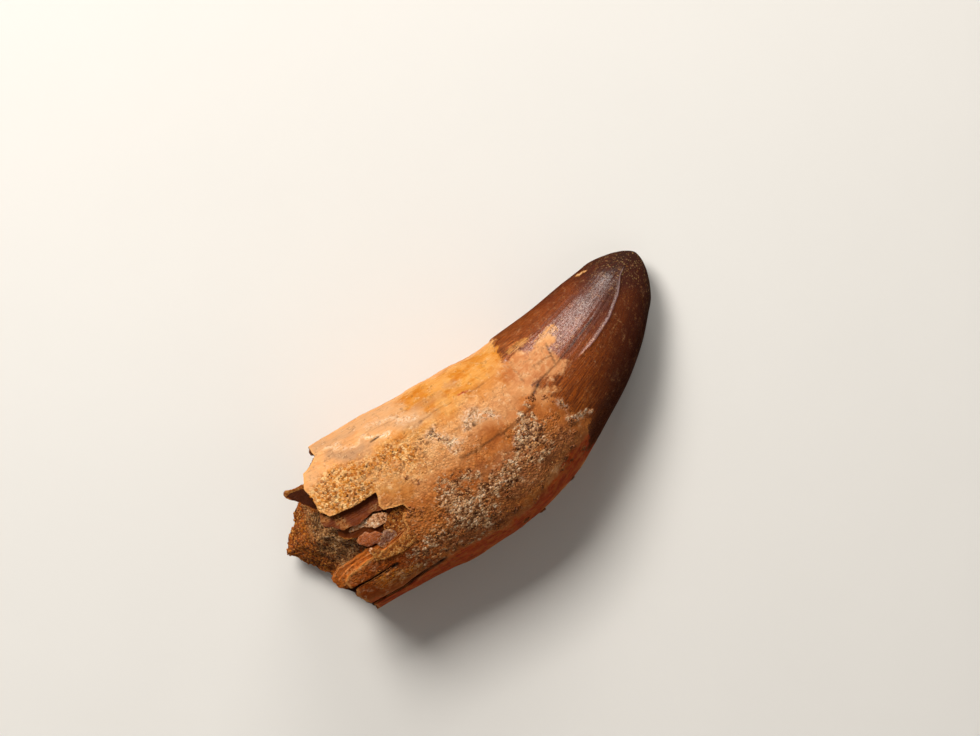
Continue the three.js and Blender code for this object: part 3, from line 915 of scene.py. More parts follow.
@dataclass(frozen=True)
class ToothSkin:
    """The outer surface of the crown and the root."""

    swell: float = 0.07
    enamel_step: float = 0.17
    enamel_wander: float = 0.45
    ridge_height: float = 0.12
    ridge_width: float = 0.15
    ridge_start: Span = (47.5, 51.5)
    ridge_end: Span = (61.0, 63.6)
    enamel_fade: Span = (61.0, 64.0)
    chips_start: Span = (58.0, 63.0)
    root_roughness: float = 0.07
    crust_height: float = 0.08
    cake_height: float = 0.12
    roe_height: float = 0.08
    hairline_depth: float = 0.12
    wrinkle: float = 0.014
    chip_depth: float = 0.03

    def stains(self, spots: Spots, point: Array) -> dict[str, Array]:
        """Grade every stain over the skin.

        Args:
            spots: Places on the tooth.
            point: The smooth form's points there.

        Returns:
            One list of numbers from 0 up for each stain.
        """
        along, degrees = spots.along, np.degrees(spots.angle)
        drift = 0.9 * rough_noise(point, 3.0, 71) + 0.35 * rough_noise(point, 0.7, 75)
        lift = 7.0 * rough_noise(point, 3.0, 81) + 2.2 * rough_noise(point, 0.7, 85)
        shifted, turned = along + 1.4 * drift, degrees + lift
        graded = {}
        for name, stains in STAINS.items():
            steady = 0.3 if name == "honey" else 1.0
            places = along + steady * (shifted - along)
            turns = degrees + steady * (turned - degrees)
            shades = [stain.shade(places, turns) for stain in stains]
            graded[name] = np.maximum.reduce([np.zeros(len(along)), *shades])
        return graded

    def hairlines(self, spots: Spots, point: Array) -> Array:
        """Grade the painted shade in the cracks and slits.

        Args:
            spots: Places on the tooth.
            point: The smooth form's points there.

        Returns:
            Numbers from 0 to about 1 inside them.
        """
        total = np.zeros(len(point))
        flat = FORM.unrolled(spots)
        flat[:, 1] += 0.09 * rough_noise(point, 0.8, 91)
        broken = 0.85 + 0.3 * rough_noise(point, 0.7, 97)
        for path, width, dark in HAIRLINES:
            distance, _ = distance_to_path(flat, FORM.unrolled(line_on_skin(path)))
            shown = dark * broken * (1.0 - ease(distance, 0.5 * width, width + 0.12))
            total = np.maximum(total, shown)
        return total

    def ridge(self, spots: Spots) -> Array:
        """Grade the crown's two cutting ridges.

        Args:
            spots: Places on the tooth.

        Returns:
            Numbers from 0 to 1.7 at their crests.
        """
        along = spots.along
        stops, degrees = np.array(RIDGE_LINE, float).T
        above = np.radians(np.interp(along, stops, degrees))
        fade = ease(along, *self.ridge_start) * (1.0 - ease(along, *self.ridge_end))
        height = np.zeros(len(along))
        for centre in (above, FULL_TURN - above):
            offset = (spots.angle - centre) * FORM.radius(along)
            crest = np.exp(-((offset / self.ridge_width) ** 2))
            height += crest + 0.7 * np.exp(-np.abs(offset) / 0.5)
        return fade * height

    def enamel(self, spots: Spots, point: Array) -> Array:
        """Return how far past the enamel's uneven edge places are, positive on the crown."""
        return enamel_reach(spots) + self.enamel_wander * rough_noise(point, 0.9, 31)

    def relief(self, spots: Spots, masks: dict[str, Array]) -> Array:
        """Measure how far the surface stands off the smooth form.

        Args:
            spots: Places on the tooth.
            masks: The stains' strengths there.

        Returns:
            Heights in millimetres.
        """
        along, angle = spots.along, spots.angle
        point, flow = FORM.skin(spots), flow_of(spots)
        worn = ease(-np.sin(angle), 0.5, 0.8)
        swell = np.sin(0.42 * along + 2 * angle) * np.cos(3 * angle)
        swell = self.swell * (1 - worn) * (swell + 0.6 * np.sin(0.9 * along - 5 * angle + 1))
        soft = 0.28 + 1.2 * ease(np.degrees(angle), 40.0, 65.0)
        crown = ease(self.enamel(spots, point) / soft, -1.0, 1.0)
        grain, _ = grain_field(point, 0.42, 41)
        pebble, _ = grain_field(point, 0.36, 47)
        rough = rough_noise(point, 1.5, 21, 4)
        calm = 1.0 - 0.75 * masks["polish"]
        root = self.root_roughness * calm * (rough + 0.35 * fibre_noise(flow, 0.25, 0.5, 27))
        root = root + self.crust_height * masks["crust"] * (0.75 - grain + 0.5 * rough)
        caked = ease(rough_noise(point, 1.7, 43, 4), -0.02, 0.1) * calm
        root = root + self.cake_height * caked * np.clip(masks["crust"] + 0.35, 0.0, 1.0)
        root = root + self.roe_height * np.minimum(masks["roe"], 1.0) * (0.8 - pebble)
        root = root - self.hairline_depth * self.hairlines(spots, point)
        fade = 1.0 - ease(along, *self.enamel_fade)
        wrinkle = self.wrinkle * fibre_noise(flow, 0.1, 0.3, 37)
        chips = self.chip_depth * rough_noise(point, 0.5, 39) * ease(along, *self.chips_start)
        enamel = self.enamel_step * fade + wrinkle + chips
        return (swell + root) * (1 - crown) + enamel * crown + self.ridge_height * self.ridge(spots)

    def points(self, spots: Spots) -> tuple[Array, dict[str, Array]]:
        """Find the finished surface's points and what covers them."""
        masks = self.stains(spots, FORM.skin(spots))
        return FORM.skin(spots, -self.relief(spots, masks)), masks

    def shape(self) -> Shape:
        """Build the whole outer surface, up to its broken edge.

        Returns:
            The surface with all that its finish reads.
        """
        sheet = LAYERS[0].sheet(FORM.tip_end)
        spots = sheet.spots
        points, masks = self.points(spots)
        smooth = FORM.skin(spots)
        values = {
            **masks,
            "crown": np.clip(self.enamel(spots, smooth), -20.0, 25.0),
            "hairline": self.hairlines(spots, smooth),
            "rim": np.clip(kept_by(smooth[:, :2], OUTER_EDGE), 0.0, 3.0),
            # Where the painted highlight runs along the ridge.
            "crest": ease(self.ridge(spots), 1.3, 1.68),
            "flow": flow_of(spots),
        }
        borders = open_sides(sheet.triangles)
        last = borders[(spots.along[borders] > FORM.tip_end - 0.1).all(axis=1)]
        ring = last[:, 0]
        tip = {name: value[ring].mean(axis=0, keepdims=True) for name, value in values.items()}
        cap = Shape(points[ring].mean(axis=0, keepdims=True), np.zeros((0, 3), int), tip)
        closed = Shape.joined([Shape(points, sheet.triangles, values), cap])
        fan = np.stack([last[:, 1], ring, np.full(len(last), len(points))], axis=1)
        closed.triangles = np.concatenate([closed.triangles, fan])
        return closed


@dataclass(frozen=True)
class BrokenWall:
    """The layers of the root's wall as the break shows them: ledges, faces and undersides."""

    unevenness: float = 0.05
    face_roughness: float = 0.07
    face_rows: int = 4
    hidden_after: float = 1.2
    cavity_reach: float = 4.5
    glow_run: tuple[Place, Place] = ((-27.0, -2.6), (-19.0, -3.2))
    glow_fade: Span = (0.8, 2.2)
    # How far from a crack, and to what depth, faces are pushed for painted shade in the crack.
    crevice_fade: Span = (0.25, 0.6)
    until: float = 22.8
    crevice_depth: float = 4.5

    def level(self, spots: Spots, depth: float, skin: ToothSkin) -> Array:
        """Find points at a depth under the surface, which is uneven there too.

        Args:
            spots: Places on the tooth.
            depth: The depth, 0 for the finished outer surface.
            skin: The outer surface.

        Returns:
            The points.
        """
        if depth == 0.0:
            return skin.points(spots)[0]
        at_cavity = depth >= FORM.wall_thickness
        inset = FORM.wall(spots.along) if at_cavity else np.full(len(spots.along), depth)
        flow = flow_of(spots, 3.0 * depth)
        lumps = rough_noise(flow, 1.2, 51) + 0.7 * fibre_noise(flow, 0.2, 0.45, 57)
        return FORM.skin(spots, inset - self.unevenness * lumps)

    def covers(self, points: Array, depth: Array, seed: int) -> dict[str, Array]:
        """Grade what shows on broken faces.

        Args:
            points: Points of the faces.
            depth: How deep they lie under the skin.
            seed: Chooses where sand clings.

        Returns:
            The glow, the sand and the depth that the finish reads.
        """
        distance, _ = distance_to_path(points[:, :2], np.array(self.glow_run))
        glow = 1.0 - ease(distance, *self.glow_fade)
        dust = ease(rough_noise(points, 1.4, seed), 0.05, 0.6)
        # Near each crack the depth is pushed to its deepest, so that the finish paints shade there, and
        # the sand and glow give way.
        for crack in CRACKS:
            line = FORM.skin(line_on_skin(crack.path))[:, :2]
            distance, _ = distance_to_path(points[:, :2], line)
            near = (1.0 - ease(distance, *self.crevice_fade)) * ease(depth, 0.05, 0.3)
            depth = depth + near * (self.crevice_depth - depth)
            dust, glow = dust * (1.0 - near), glow * (1.0 - near)
        return {"glow": glow, "dust": 0.7 * dust, "depth": depth}

    def shape(self, skin: ToothSkin) -> Shape:
        """Build all the layers.

        Args:
            skin: The outer surface, whose edge the first layer shares.

        Returns:
            The joined shape.
        """
        parts = []
        for index, layer in enumerate(LAYERS):
            sheet = layer.sheet(self.until)
            spots, triangles = sheet.spots, sheet.triangles
            top = self.level(spots, layer.outer, skin)
            bottom = self.level(spots, layer.inner, skin)
            if index:
                above = LAYERS[index - 1].kept(spots)
                shown = (above[triangles] < self.hidden_after).any(axis=1)
                parts.append(self.ledge(top, spots, layer.outer, triangles[shown]))
            reach = self.cavity_reach if layer is LAYERS[-1] else self.hidden_after
            shown = (layer.kept(spots)[triangles] < reach).any(axis=1)
            parts.append(self.ledge(bottom, spots, layer.inner, triangles[shown][:, ::-1]))
            face, source, share = wall_along(
                sheet.rim, top, bottom, FORM.outward(spots), self.face_rows, self.face_roughness,
                layer.seed)
            depth = layer.outer + share * (layer.inner - layer.outer)
            flow = flow_of(spots[source], depth)
            face.values = {**self.covers(face.points, depth, 61), "flow": flow}
            parts.append(face)
        return Shape.joined(parts)

    def ledge(self, points: Array, spots: Spots, depth: float, triangles: Array) -> Shape:
        """Make one uncovered surface of a layer.

        Args:
            points: The layer's points at that depth.
            spots: Their places on the tooth.
            depth: The depth.
            triangles: The triangles that show.

        Returns:
            The surface without its unused points.
        """
        used, packed = np.unique(triangles, return_inverse=True)
        values = self.covers(points[used], np.full(len(used), depth), 63)
        values["flow"] = flow_of(spots[used], depth)
        return Shape(points[used], packed.reshape(-1, 3), values)


class Cover(Enum):
    """What the upper face of a broken plate looks like."""

    BARE = "broken_dentine"
    SPECKLED = "speckled_dentine"
    GRANULAR = "granular_dentine"
    GREY = "grey_dentine"
    RED = "red_dentine"


@dataclass(frozen=True)
class Plate:
    """A loose-edged plate that stands out of the break.

    outline: its outline from above. at: the point where it is `top` high. rise: how much it
    climbs with each millimetre of x and of y. dust, glow: how much sand covers its upper face,
    and how much it glows. depth: how deep in the wall it looks, which its finish paints darker,
    partly its own colour and partly painted shade. worn: how far its edge is worn.
    """

    name: str
    outline: tuple[Place, ...]
    at: Place
    top: float
    rise: Place
    thickness: float
    seed: int
    dust: float = 0.0
    glow: float = 0.0
    curl: float = 0.0
    depth: float = 0.5
    cover: Cover = Cover.BARE
    worn: float = 0.1
    step: float = 0.13
    margin: float = 0.4
    face_rows: int = 5
    face_roughness: float = 0.07
    # The underside's depth, which its finish paints darker as shade under the plate.
    under_depth: float = 2.0

    def shape(self) -> Shape:
        """Build the plate with uneven faces, a worn upper edge and a split rim.

        Returns:
            The plate.
        """
        corners, seed = np.array(self.outline), self.seed
        low, high = corners.min(axis=0) - self.margin, corners.max(axis=0) + self.margin
        first, second = (np.arange(low[axis], high[axis], self.step) for axis in (0, 1))
        x, y = np.meshgrid(first, second, indexing="ij")
        grid = np.stack([x.ravel(), y.ravel(), 0 * y.ravel()], axis=1)
        wander = 0.1 * rough_noise(grid, 0.8, seed) + 0.06 * rough_noise(grid, 0.25, seed + 6)
        kept = inside_by(grid[:, :2], self.outline) + wander
        sheet = trim(y.T, x.T, kept.reshape(y.shape).T)
        flat = np.stack([sheet.second, sheet.first], axis=1)
        inside = np.maximum(inside_by(flat, self.outline), 0.0)
        offset = flat - np.array(self.at)
        spot = np.column_stack([flat, np.full(len(flat), seed * 3.0)])
        height = self.top + offset @ np.array(self.rise)
        height += 0.1 * rough_noise(spot, 1.3, seed + 1, 4)
        height += 0.05 * rough_noise(spot, 0.4, seed + 4)
        height += self.curl * np.sin(offset[:, 1] * 1.5 + 0.5)
        height -= 0.1 * np.exp(-inside / 0.12)
        under = height - self.thickness + 0.08 * rough_noise(spot, 0.9, seed + 2)
        top, bottom = np.column_stack([flat, height]), np.column_stack([flat, under])
        facing = np.tile([0.0, 0.0, 1.0], (len(flat), 1))
        face, _, share = wall_along(
            sheet.rim, top, bottom, facing, self.face_rows, self.face_roughness, seed + 3)
        bared = inside + 2 * self.worn * rough_noise(spot, 0.5, seed + 5)
        depth = self.depth * ease(bared, 0.4 * self.worn, 1.6 * self.worn)
        under_side = Shape(bottom, sheet.triangles[:, ::-1])
        return Shape.joined([
            self.dressed(Shape(top, sheet.triangles), depth, self.dust),
            self.dressed(face, self.depth + 0.1 + share * self.thickness, 0.1),
            self.dressed(under_side, self.under_depth, 0.3),
        ])

    def dressed(self, shape: Shape, depth: Array | float, dust: float) -> Shape:
        """Give a surface of the plate the values that its finish reads.

        Args:
            shape: The surface.
            depth: How deep in the wall it looks.
            dust: How much sand covers it.

        Returns:
            The same surface.
        """
        levels = {"depth": depth, "glow": self.glow, "dust": dust}
        zero = np.zeros(len(shape.points))
        shape.values = {name: zero + level for name, level in levels.items()}
        shape.values["flow"] = shape.points.copy()
        return shape


PLATES = (
    # Set deep so that its face takes painted shade.
    Plate(
        "edge_shard",
        ((-24.42, 9.80), (-24.49, 9.27), (-23.62, 7.74), (-23.18, 6.79), (-22.54, 5.71), (-21.42, 4.84),
         (-20.95, 7.23), (-21.57, 8.98), (-22.46, 9.30)),
        (-21, 8), 15.5, (0.35, 0.1), 1.3, 201, depth=3.4,
    ),
    Plate(
        "shard_rim",
        ((-24.40, 9.90), (-23.99, 9.94), (-22.37, 9.39), (-21.28, 9.03), (-21.22, 8.55), (-21.65, 8.59),
         (-22.63, 8.99), (-23.79, 9.35), (-24.20, 9.32), (-24.53, 9.39)),
        (-21, 8), 15.62, (0.35, 0.1), 0.3, 205, dust=0.4, glow=0.1, depth=0.1, cover=Cover.GRANULAR,
    ),
    Plate(
        "tan_plate",
        ((-21.20, 1.10), (-20.79, 1.26), (-20.09, 1.36), (-19.24, 1.08), (-18.33, 0.89), (-17.30, 0.84),
         (-16.41, 0.43), (-15.95, -0.30), (-16.33, -0.57), (-16.94, -0.97), (-17.73, -0.77),
         (-18.42, -0.68), (-18.77, -0.09), (-19.26, 0.33), (-20.44, 0.76)),
        (-17, 0), 17.75, (0.16, 0.1), 1.1, 211, dust=1.0, glow=0.15, worn=0.14, cover=Cover.SPECKLED,
    ),
    # Set deep so that it takes painted shade under the slab above.
    Plate(
        "dark_leaf",
        ((-22.18, 2.01), (-21.25, 1.84), (-20.46, 1.49), (-18.82, 0.88), (-16.79, -0.36), (-17.18, -1.57),
         (-18.69, -1.53), (-19.49, -1.02), (-20.26, -0.83), (-21.07, 0.03), (-21.74, 0.34), (-22.12, 0.80),
         (-22.34, 1.45)),
        (-19, 0), 17.0, (0.14, 0.28), 0.9, 241, glow=0.12, curl=0.05, depth=2.0, worn=0.12,
    ),
    Plate(
        "red_flake",
        ((-21.09, -0.34), (-20.52, -0.16), (-20.05, -0.24), (-19.51, -0.18), (-19.21, -0.74),
         (-18.58, -0.91), (-18.04, -1.59), (-17.86, -2.20), (-18.33, -2.58), (-18.98, -2.80),
         (-19.60, -2.12), (-20.30, -2.03), (-20.73, -1.41), (-21.06, -0.90)),
        (-17, -2.4), 17.6, (0.2, 0.1), 1.1, 221, dust=0.14, glow=0.25, curl=0.2, depth=0.9, worn=0.2,
        cover=Cover.RED,
    ),
    Plate(
        "grey_flake",
        ((-18.65, -1.84), (-18.08, -1.78), (-17.75, -1.54), (-16.87, -1.95), (-16.56, -2.54),
         (-16.84, -3.20), (-17.59, -3.26), (-18.44, -3.09), (-18.96, -3.38), (-19.38, -2.79),
         (-19.38, -2.29), (-18.72, -2.24)),
        (-18, -2.4), 18.0, (-0.05, 0.25), 0.8, 251, dust=0.3, curl=0.15, depth=0.9, worn=0.2,
        cover=Cover.GREY,
    ),
    Plate(
        "granular_step",
        ((-16.25, -0.48), (-15.18, -0.30), (-13.73, -0.59), (-13.37, -1.81), (-14.01, -3.12),
         (-15.11, -3.88), (-16.48, -3.50), (-17.21, -3.36), (-17.31, -2.66), (-17.64, -1.77),
         (-17.36, -1.07), (-16.73, -0.84)),
        (-16, -1.6), 17.95, (0.05, 0.16), 1.4, 231, dust=1.0, curl=0.1, depth=0.6, cover=Cover.GRANULAR,
    ),
    Plate(
        "root_knob",
        ((-20.53, -2.22), (-19.96, -2.36), (-19.65, -2.73), (-19.17, -3.44), (-18.05, -3.38),
         (-16.46, -3.49), (-14.94, -3.69), (-15.06, -5.12), (-17.65, -5.10), (-19.80, -4.37),
         (-20.69, -3.78), (-20.64, -2.90)),
        (-17.5, -4), 18.62, (0.05, 0.26), 1.1, 261, dust=0.85, curl=0.04, depth=0.3, worn=0.2,
        cover=Cover.GRANULAR,
    ),
    Plate(
        "pale_stub",
        ((-20.60, -2.13), (-20.29, -2.12), (-20.02, -2.53), (-20.18, -2.90), (-20.59, -2.94),
         (-20.75, -2.57)),
        (-20.4, -2.8), 18.5, (0.0, 0.1), 0.6, 271, dust=1.0, depth=0.2, cover=Cover.SPECKLED,
    ),
)


@dataclass(frozen=True)
class MatrixFill:
    """The sandstone that fills the pulp cavity, and its rough broken face."""

    gap: float = 0.3
    tip: float = 4.4
    tip_offset: float = 0.4
    fall: float = 5.0
    fall_width: float = 4.8
    fall_power: float = 1.3
    convex_side: Span = (2.0, 7.0)
    recess: float = 0.7
    recess_convex: float = 0.4
    roughness: float = 0.28
    columns: int = 260
    face_rows: int = 96
    side_rows: int = 14
    side_share: float = 0.4
    end_margin: float = 1.6
    base_depth: float = 4.0
    rim_steps: int = 12
    warm_end: Span = (24.6, 27.4)
    warm_side: Span = (0.5, 3.0)
    warm_strength: float = 0.8

    def face(self, across: Array, height: Array) -> Array:
        """Find how far along the tooth the broken face lies.

        Args:
            across: Offsets towards the concave side.
            height: Heights.

        Returns:
            Places along the tooth.
        """
        offset = np.abs(across - self.tip_offset) / self.fall_width
        fall = self.fall * (1 - np.exp(-(offset**self.fall_power)))
        grade = ease(-across, *self.convex_side)
        recess = self.recess + grade * (self.recess_convex - self.recess)
        rough = np.sin(2.3 * across + 0.9 * height) * np.cos(1.7 * height - across)
        back = recess * np.maximum(0.0, height - FORM.wall_thickness)
        return self.tip + fall + back + self.roughness * rough

    def lining(self, along: Array, angle: Array) -> Array:
        """Return points on the fill's side, a gap inside the cavity's wall."""
        return FORM.skin(Spots(along, angle), FORM.wall(along) + self.gap)

    def rim(self, angle: Array) -> Array:
        """Find where the broken face meets the cavity's wall.

        Args:
            angle: Angles round the section.

        Returns:
            Places along the tooth.
        """
        along = np.full(len(angle), self.tip)
        for _ in range(self.rim_steps):
            point = self.lining(along, angle)
            across = ((point - FORM.centre(along)) * FORM.side(along)).sum(axis=1)
            along = along + 0.6 * (self.face(across, point[:, 2]) - along)
        return along

    def shape(self) -> Shape:
        """Build the fill from its broken face a little way into the cavity.

        Returns:
            The fill with the warmth that its finish reads.
        """
        angle = np.linspace(0, FULL_TURN, self.columns, endpoint=False)
        start = self.rim(angle)
        edge = self.lining(start, angle)
        base = np.full(len(angle), self.tip + self.base_depth)
        centre = FORM.centre(base)
        across = ((edge - centre) * FORM.side(base)).sum(axis=1)
        rows = []
        for share in np.linspace(0.01, 1.0, self.face_rows) ** 0.85:
            height = centre[:, 2] + (edge[:, 2] - centre[:, 2]) * share
            along = self.face(across * share, height)
            row = FORM.centre(along) + FORM.side(along) * (across * share)[:, None]
            row[:, 2] = height
            rows.append(row)
        for share in np.linspace(0, self.side_share, self.side_rows)[1:]:
            along = start + (FORM.cavity_end - self.end_margin - start) * share
            rows.append(self.lining(along, angle))
        index = np.arange(self.columns * len(rows)).reshape(len(rows), self.columns)
        ahead = np.roll(index, -1, axis=1)
        a, b, c, d = (corner.ravel() for corner in (index[:-1], ahead[:-1], ahead[1:], index[1:]))
        halves = [np.stack([a, b, c], axis=1), np.stack([a, c, d], axis=1)]
        plug = Shape(np.concatenate(rows), np.concatenate(halves))
        pebble, _ = grain_field(plug.points, 0.55, 301)
        grit, _ = grain_field(plug.points, 0.3, 303)
        lift = 0.14 * rough_noise(plug.points, 1.7, 305) + 0.13 * (0.55 - pebble)
        lift += 0.07 * (0.5 - grit)
        plug.points = plug.points + plug.normals() * lift[:, None]
        x, y, _ = plug.points.T
        clouds = ease(rough_noise(plug.points, 2.2, 307), 0.1, 0.6)
        warm = ease(-x + 0.35 * np.abs(y - 1.5), *self.warm_end)
        for share in (clouds, ease(-y, *self.warm_side)):
            warm = np.maximum(warm, self.warm_strength * share)
        plug.values = {"warm": warm}
        return plug


class GrainShape(Enum):
    """The blanks that sand grains are made from."""

    ROUND = "round"
    SHARP = "sharp"

    def blank(self) -> tuple[Array, Array]:
        """Lay out the blank: eight faces if it is sharp, twenty if it is round.

        Returns:
            Its corners, all about 1 from the middle, and its triangles.
        """
        if self is GrainShape.SHARP:
            corners = np.stack([np.eye(3), -np.eye(3)], axis=1).reshape(6, 3)
            faces = [[4, 0, 2], [4, 2, 1], [4, 1, 3], [4, 3, 0],
                     [5, 2, 0], [5, 1, 2], [5, 3, 1], [5, 0, 3]]
            return corners, np.array(faces)
        golden = (1 + math.sqrt(5)) / 2
        oblong = [[-1, golden, 0], [1, golden, 0], [-1, -golden, 0], [1, -golden, 0]]
        corners = np.concatenate([np.roll(oblong, turn, axis=1) for turn in range(3)])
        faces = [[0, 11, 5], [0, 5, 1], [0, 1, 7], [0, 7, 10], [0, 10, 11],
                 [1, 5, 9], [5, 11, 4], [11, 10, 2], [10, 7, 6], [7, 1, 8],
                 [3, 9, 4], [3, 4, 2], [3, 2, 6], [3, 6, 8], [3, 8, 9],
                 [4, 9, 5], [2, 4, 11], [6, 2, 10], [8, 6, 7], [9, 8, 1]]
        return corners / np.linalg.norm(corners[0]), np.array(faces)


@dataclass(frozen=True)
class Sand:
    """Loose-looking grains of one kind, seated in a surface."""

    shape: GrainShape
    spacing: float
    smallest: float
    largest: float
    sunk: float
    unevenness: float
    seed: int

    def seats(self, surface: Shape, weight: Array) -> Array:
        """Choose the surface's points that carry a grain, at most one in each small cell.

        Args:
            surface: The surface.
            weight: The share of cells that get a grain at each point.

        Returns:
            The chosen points' indices.
        """
        cell = np.floor(surface.points / self.spacing).astype(np.int64)
        draw = scatter_hash(cell, self.seed)
        order = np.argsort(scatter_hash((surface.points * 977).astype(np.int64), self.seed + 1))
        wanted = order[(draw < weight)[order]]
        _, first = np.unique(cell[wanted], axis=0, return_index=True)
        return wanted[first]

    def grow(self, seats: Array, normals: Array, warm: Array, size: float = 1.0) -> Shape:
        """Make a grain at each seat.

        Args:
            seats: The grains' places.
            normals: The surface's normals there.
            warm: How orange each grain is.
            size: Scales all of them.

        Returns:
            All the grains as one shape.
        """
        draw = np.random.default_rng(self.seed)
        corners, faces = self.shape.blank()
        count = len(seats)
        spread = (self.largest - self.smallest) * draw.random(count) ** 1.6
        radius = size * (self.smallest + spread)
        turn = draw.normal(size=(count, 4))
        turn /= np.linalg.norm(turn, axis=1, keepdims=True)
        w, x, y, z = turn.T
        spin = np.stack([
            np.stack([1 - 2 * (y * y + z * z), 2 * (x * y - z * w), 2 * (x * z + y * w)], -1),
            np.stack([2 * (x * y + z * w), 1 - 2 * (x * x + z * z), 2 * (y * z - x * w)], -1),
            np.stack([2 * (x * z - y * w), 2 * (y * z + x * w), 1 - 2 * (x * x + y * y)], -1),
        ], axis=1)
        dent = 1.0 + self.unevenness * (draw.random((count, len(corners), 1)) - 0.5)
        stretch = 1.0 + 0.5 * (draw.random((count, 1, 3)) - 0.5)
        local = corners[None] * dent * stretch * radius[:, None, None]
        centre = seats - normals * (self.sunk * radius)[:, None]
        points = np.einsum("nij,nkj->nki", spin, local) + centre[:, None]
        steps = np.arange(count)[:, None, None] * len(corners)
        patchy = 0.5 + 0.8 * rough_noise(seats, 0.9, self.seed + 7)
        tone = np.clip(0.6 * draw.random(count) + 0.4 * patchy, 0.0, 1.0)
        values = {"tone": np.repeat(tone, len(corners)), "warm": np.repeat(warm, len(corners))}
        return Shape(points.reshape(-1, 3), (faces[None] + steps).reshape(-1, 3), values)


@dataclass(frozen=True)
class CrustLumps:
    """The knots of hard sand on the root, at the solid's own places.

    low, high: the smallest and the largest place along the tooth, angle in degrees and radius.
    at_edge: knots at the root's outline, given one by one.
    """

    seed: int = 20117
    count: int = 44
    low: tuple[float, float, float] = (20.0, 74.0, 0.35)
    high: tuple[float, float, float] = (43.0, 170.0, 0.8)
    flatness: float = 0.5
    extent: tuple[float, float, float] = (0.5, 0.42, 0.3)
    grain_share: float = 0.12
    steep_from: float = 150.0
    steep_spread: float = 0.6
    at_edge: tuple[tuple[float, float, float], ...] = (
        (34, 176, 0.7), (38.2, 174, 0.8), (39.5, 176, 0.6))

    def places(self) -> Array:
        """Scatter the lumps.

        Returns:
            Each lump's place along the tooth, angle in degrees and radius.
        """
        state, numbers = self.seed, []
        for _ in range(3 * self.count):
            state = (state * 16807) % 2147483647
            numbers.append(state / 2147483647)
        low, high = np.array(self.low), np.array(self.high)
        scattered = low + (high - low) * np.array(numbers).reshape(-1, 3)
        return np.concatenate([scattered, np.array(self.at_edge)])

    def seats(self) -> tuple[Array, Array, Array]:
        """Lay out the grains that make up each lump.

        Returns:
            The grains' centres, the surface's normals there, and their sizes.
        """
        draw = np.random.default_rng(self.seed)
        centres, ways, sizes = [], [], []
        for along, degrees, radius in self.places():
            spot = line_on_skin([(along, degrees)])
            middle, up = FORM.skin(spot)[0], FORM.outward(spot)[0]
            lean = np.cross(up, [0.3, 0.9, 0.1])
            lean /= np.linalg.norm(lean)
            over = np.cross(up, lean)
            number = int(8 + 24 * radius)
            low = self.steep_spread if degrees > self.steep_from else 1.0
            spread = low * draw.normal(size=(number, 3)) * self.extent
            spread /= np.maximum(np.linalg.norm(spread / 1.2, axis=1, keepdims=True), 1.0)
            spread[:, 2] = np.abs(spread[:, 2]) * self.flatness - 0.08
            offset = spread @ np.stack([lean, over, up])
            centres.append(middle + 0.8 * radius * offset)
            ways.append(np.tile(up, (number, 1)))
            sizes.append(radius * (self.grain_share + self.grain_share * draw.random(number)))
        return np.concatenate(centres), np.concatenate(ways), np.concatenate(sizes)


@dataclass(frozen=True)
class Signal:
    """A number, colour or place that a node puts out. Arithmetic on it adds Math nodes."""

    graph: "Graph"
    socket: bpy.types.NodeSocket

    def __add__(self, other: "Input") -> "Signal":
        """Return the sum."""
        return self.graph.math("ADD", self, other)

    def __sub__(self, other: "Input") -> "Signal":
        """Return the difference."""
        return self.graph.math("SUBTRACT", self, other)

    def __mul__(self, other: "Input") -> "Signal":
        """Return the product."""
        return self.graph.math("MULTIPLY", self, other)

    def __truediv__(self, other: "Input") -> "Signal":
        """Return the quotient."""
        return self.graph.math("DIVIDE", self, other)

    def grade(self, low: "Input", high: "Input", start: float = 0.0, end: float = 1.0) -> "Signal":
        """Step smoothly between two values.

        Args:
            low: Where the step starts.
            high: Where it ends.
            start: The value before it.
            end: The value after it.

        Returns:
            The graded value.
        """
        inputs = {"Value": self, "From Min": low, "From Max": high, "To Min": start, "To Max": end}
        return self.graph.node("MapRange", inputs, interpolation_type="SMOOTHSTEP")[0]

    def mix(self, below: "Input", above: "Input", kind: str = "RGBA") -> "Signal":
        """Mix two values by this share of the second.

        Args:
            below: The value at 0.
            above: The value at 1.
            kind: "RGBA" for colours or "FLOAT" for numbers.

        Returns:
            The mixed value.
        """
        first, second, result = MIX_SOCKETS[kind]
        return self.graph.node("Mix", {0: self, first: below, second: above}, data_type=kind)[result]

    def coated(self, *layers: tuple["Signal", "Input"]) -> "Signal":
        """Lay other colours over this one, in order.

        Args:
            layers: Each layer's share and colour.

        Returns:
            The colour that shows.
        """
        colour = self
        for share, above in layers:
            colour = share.mix(colour, above)
        return colour

    def ramp(self, stops: "Stops") -> "Signal":
        """Turn this number into a colour.

        Args:
            stops: Places from 0 to 1 with their colours.

        Returns:
            The colour.
        """
        made = self.graph.node("ValToRGB", {0: self})
        bar = made.node.color_ramp.elements
        while len(bar) < len(stops):
            bar.new(1.0)
        for element, (place, colour) in zip(bar, stops):
            element.position = place
            element.color = (*colour, 1.0)
        return made[0]


Input = Signal | float | Colour | None
MIX_SOCKETS = {"RGBA": (6, 7, 2), "FLOAT": (2, 3, 0)}


@dataclass(frozen=True)
class Added:
    """A node that was added, whose outputs are read by name or index."""

    graph: "Graph"
    node: bpy.types.Node

    def __getitem__(self, output: str | int) -> Signal:
        """Return one of its outputs."""
        return Signal(self.graph, self.node.outputs[output])


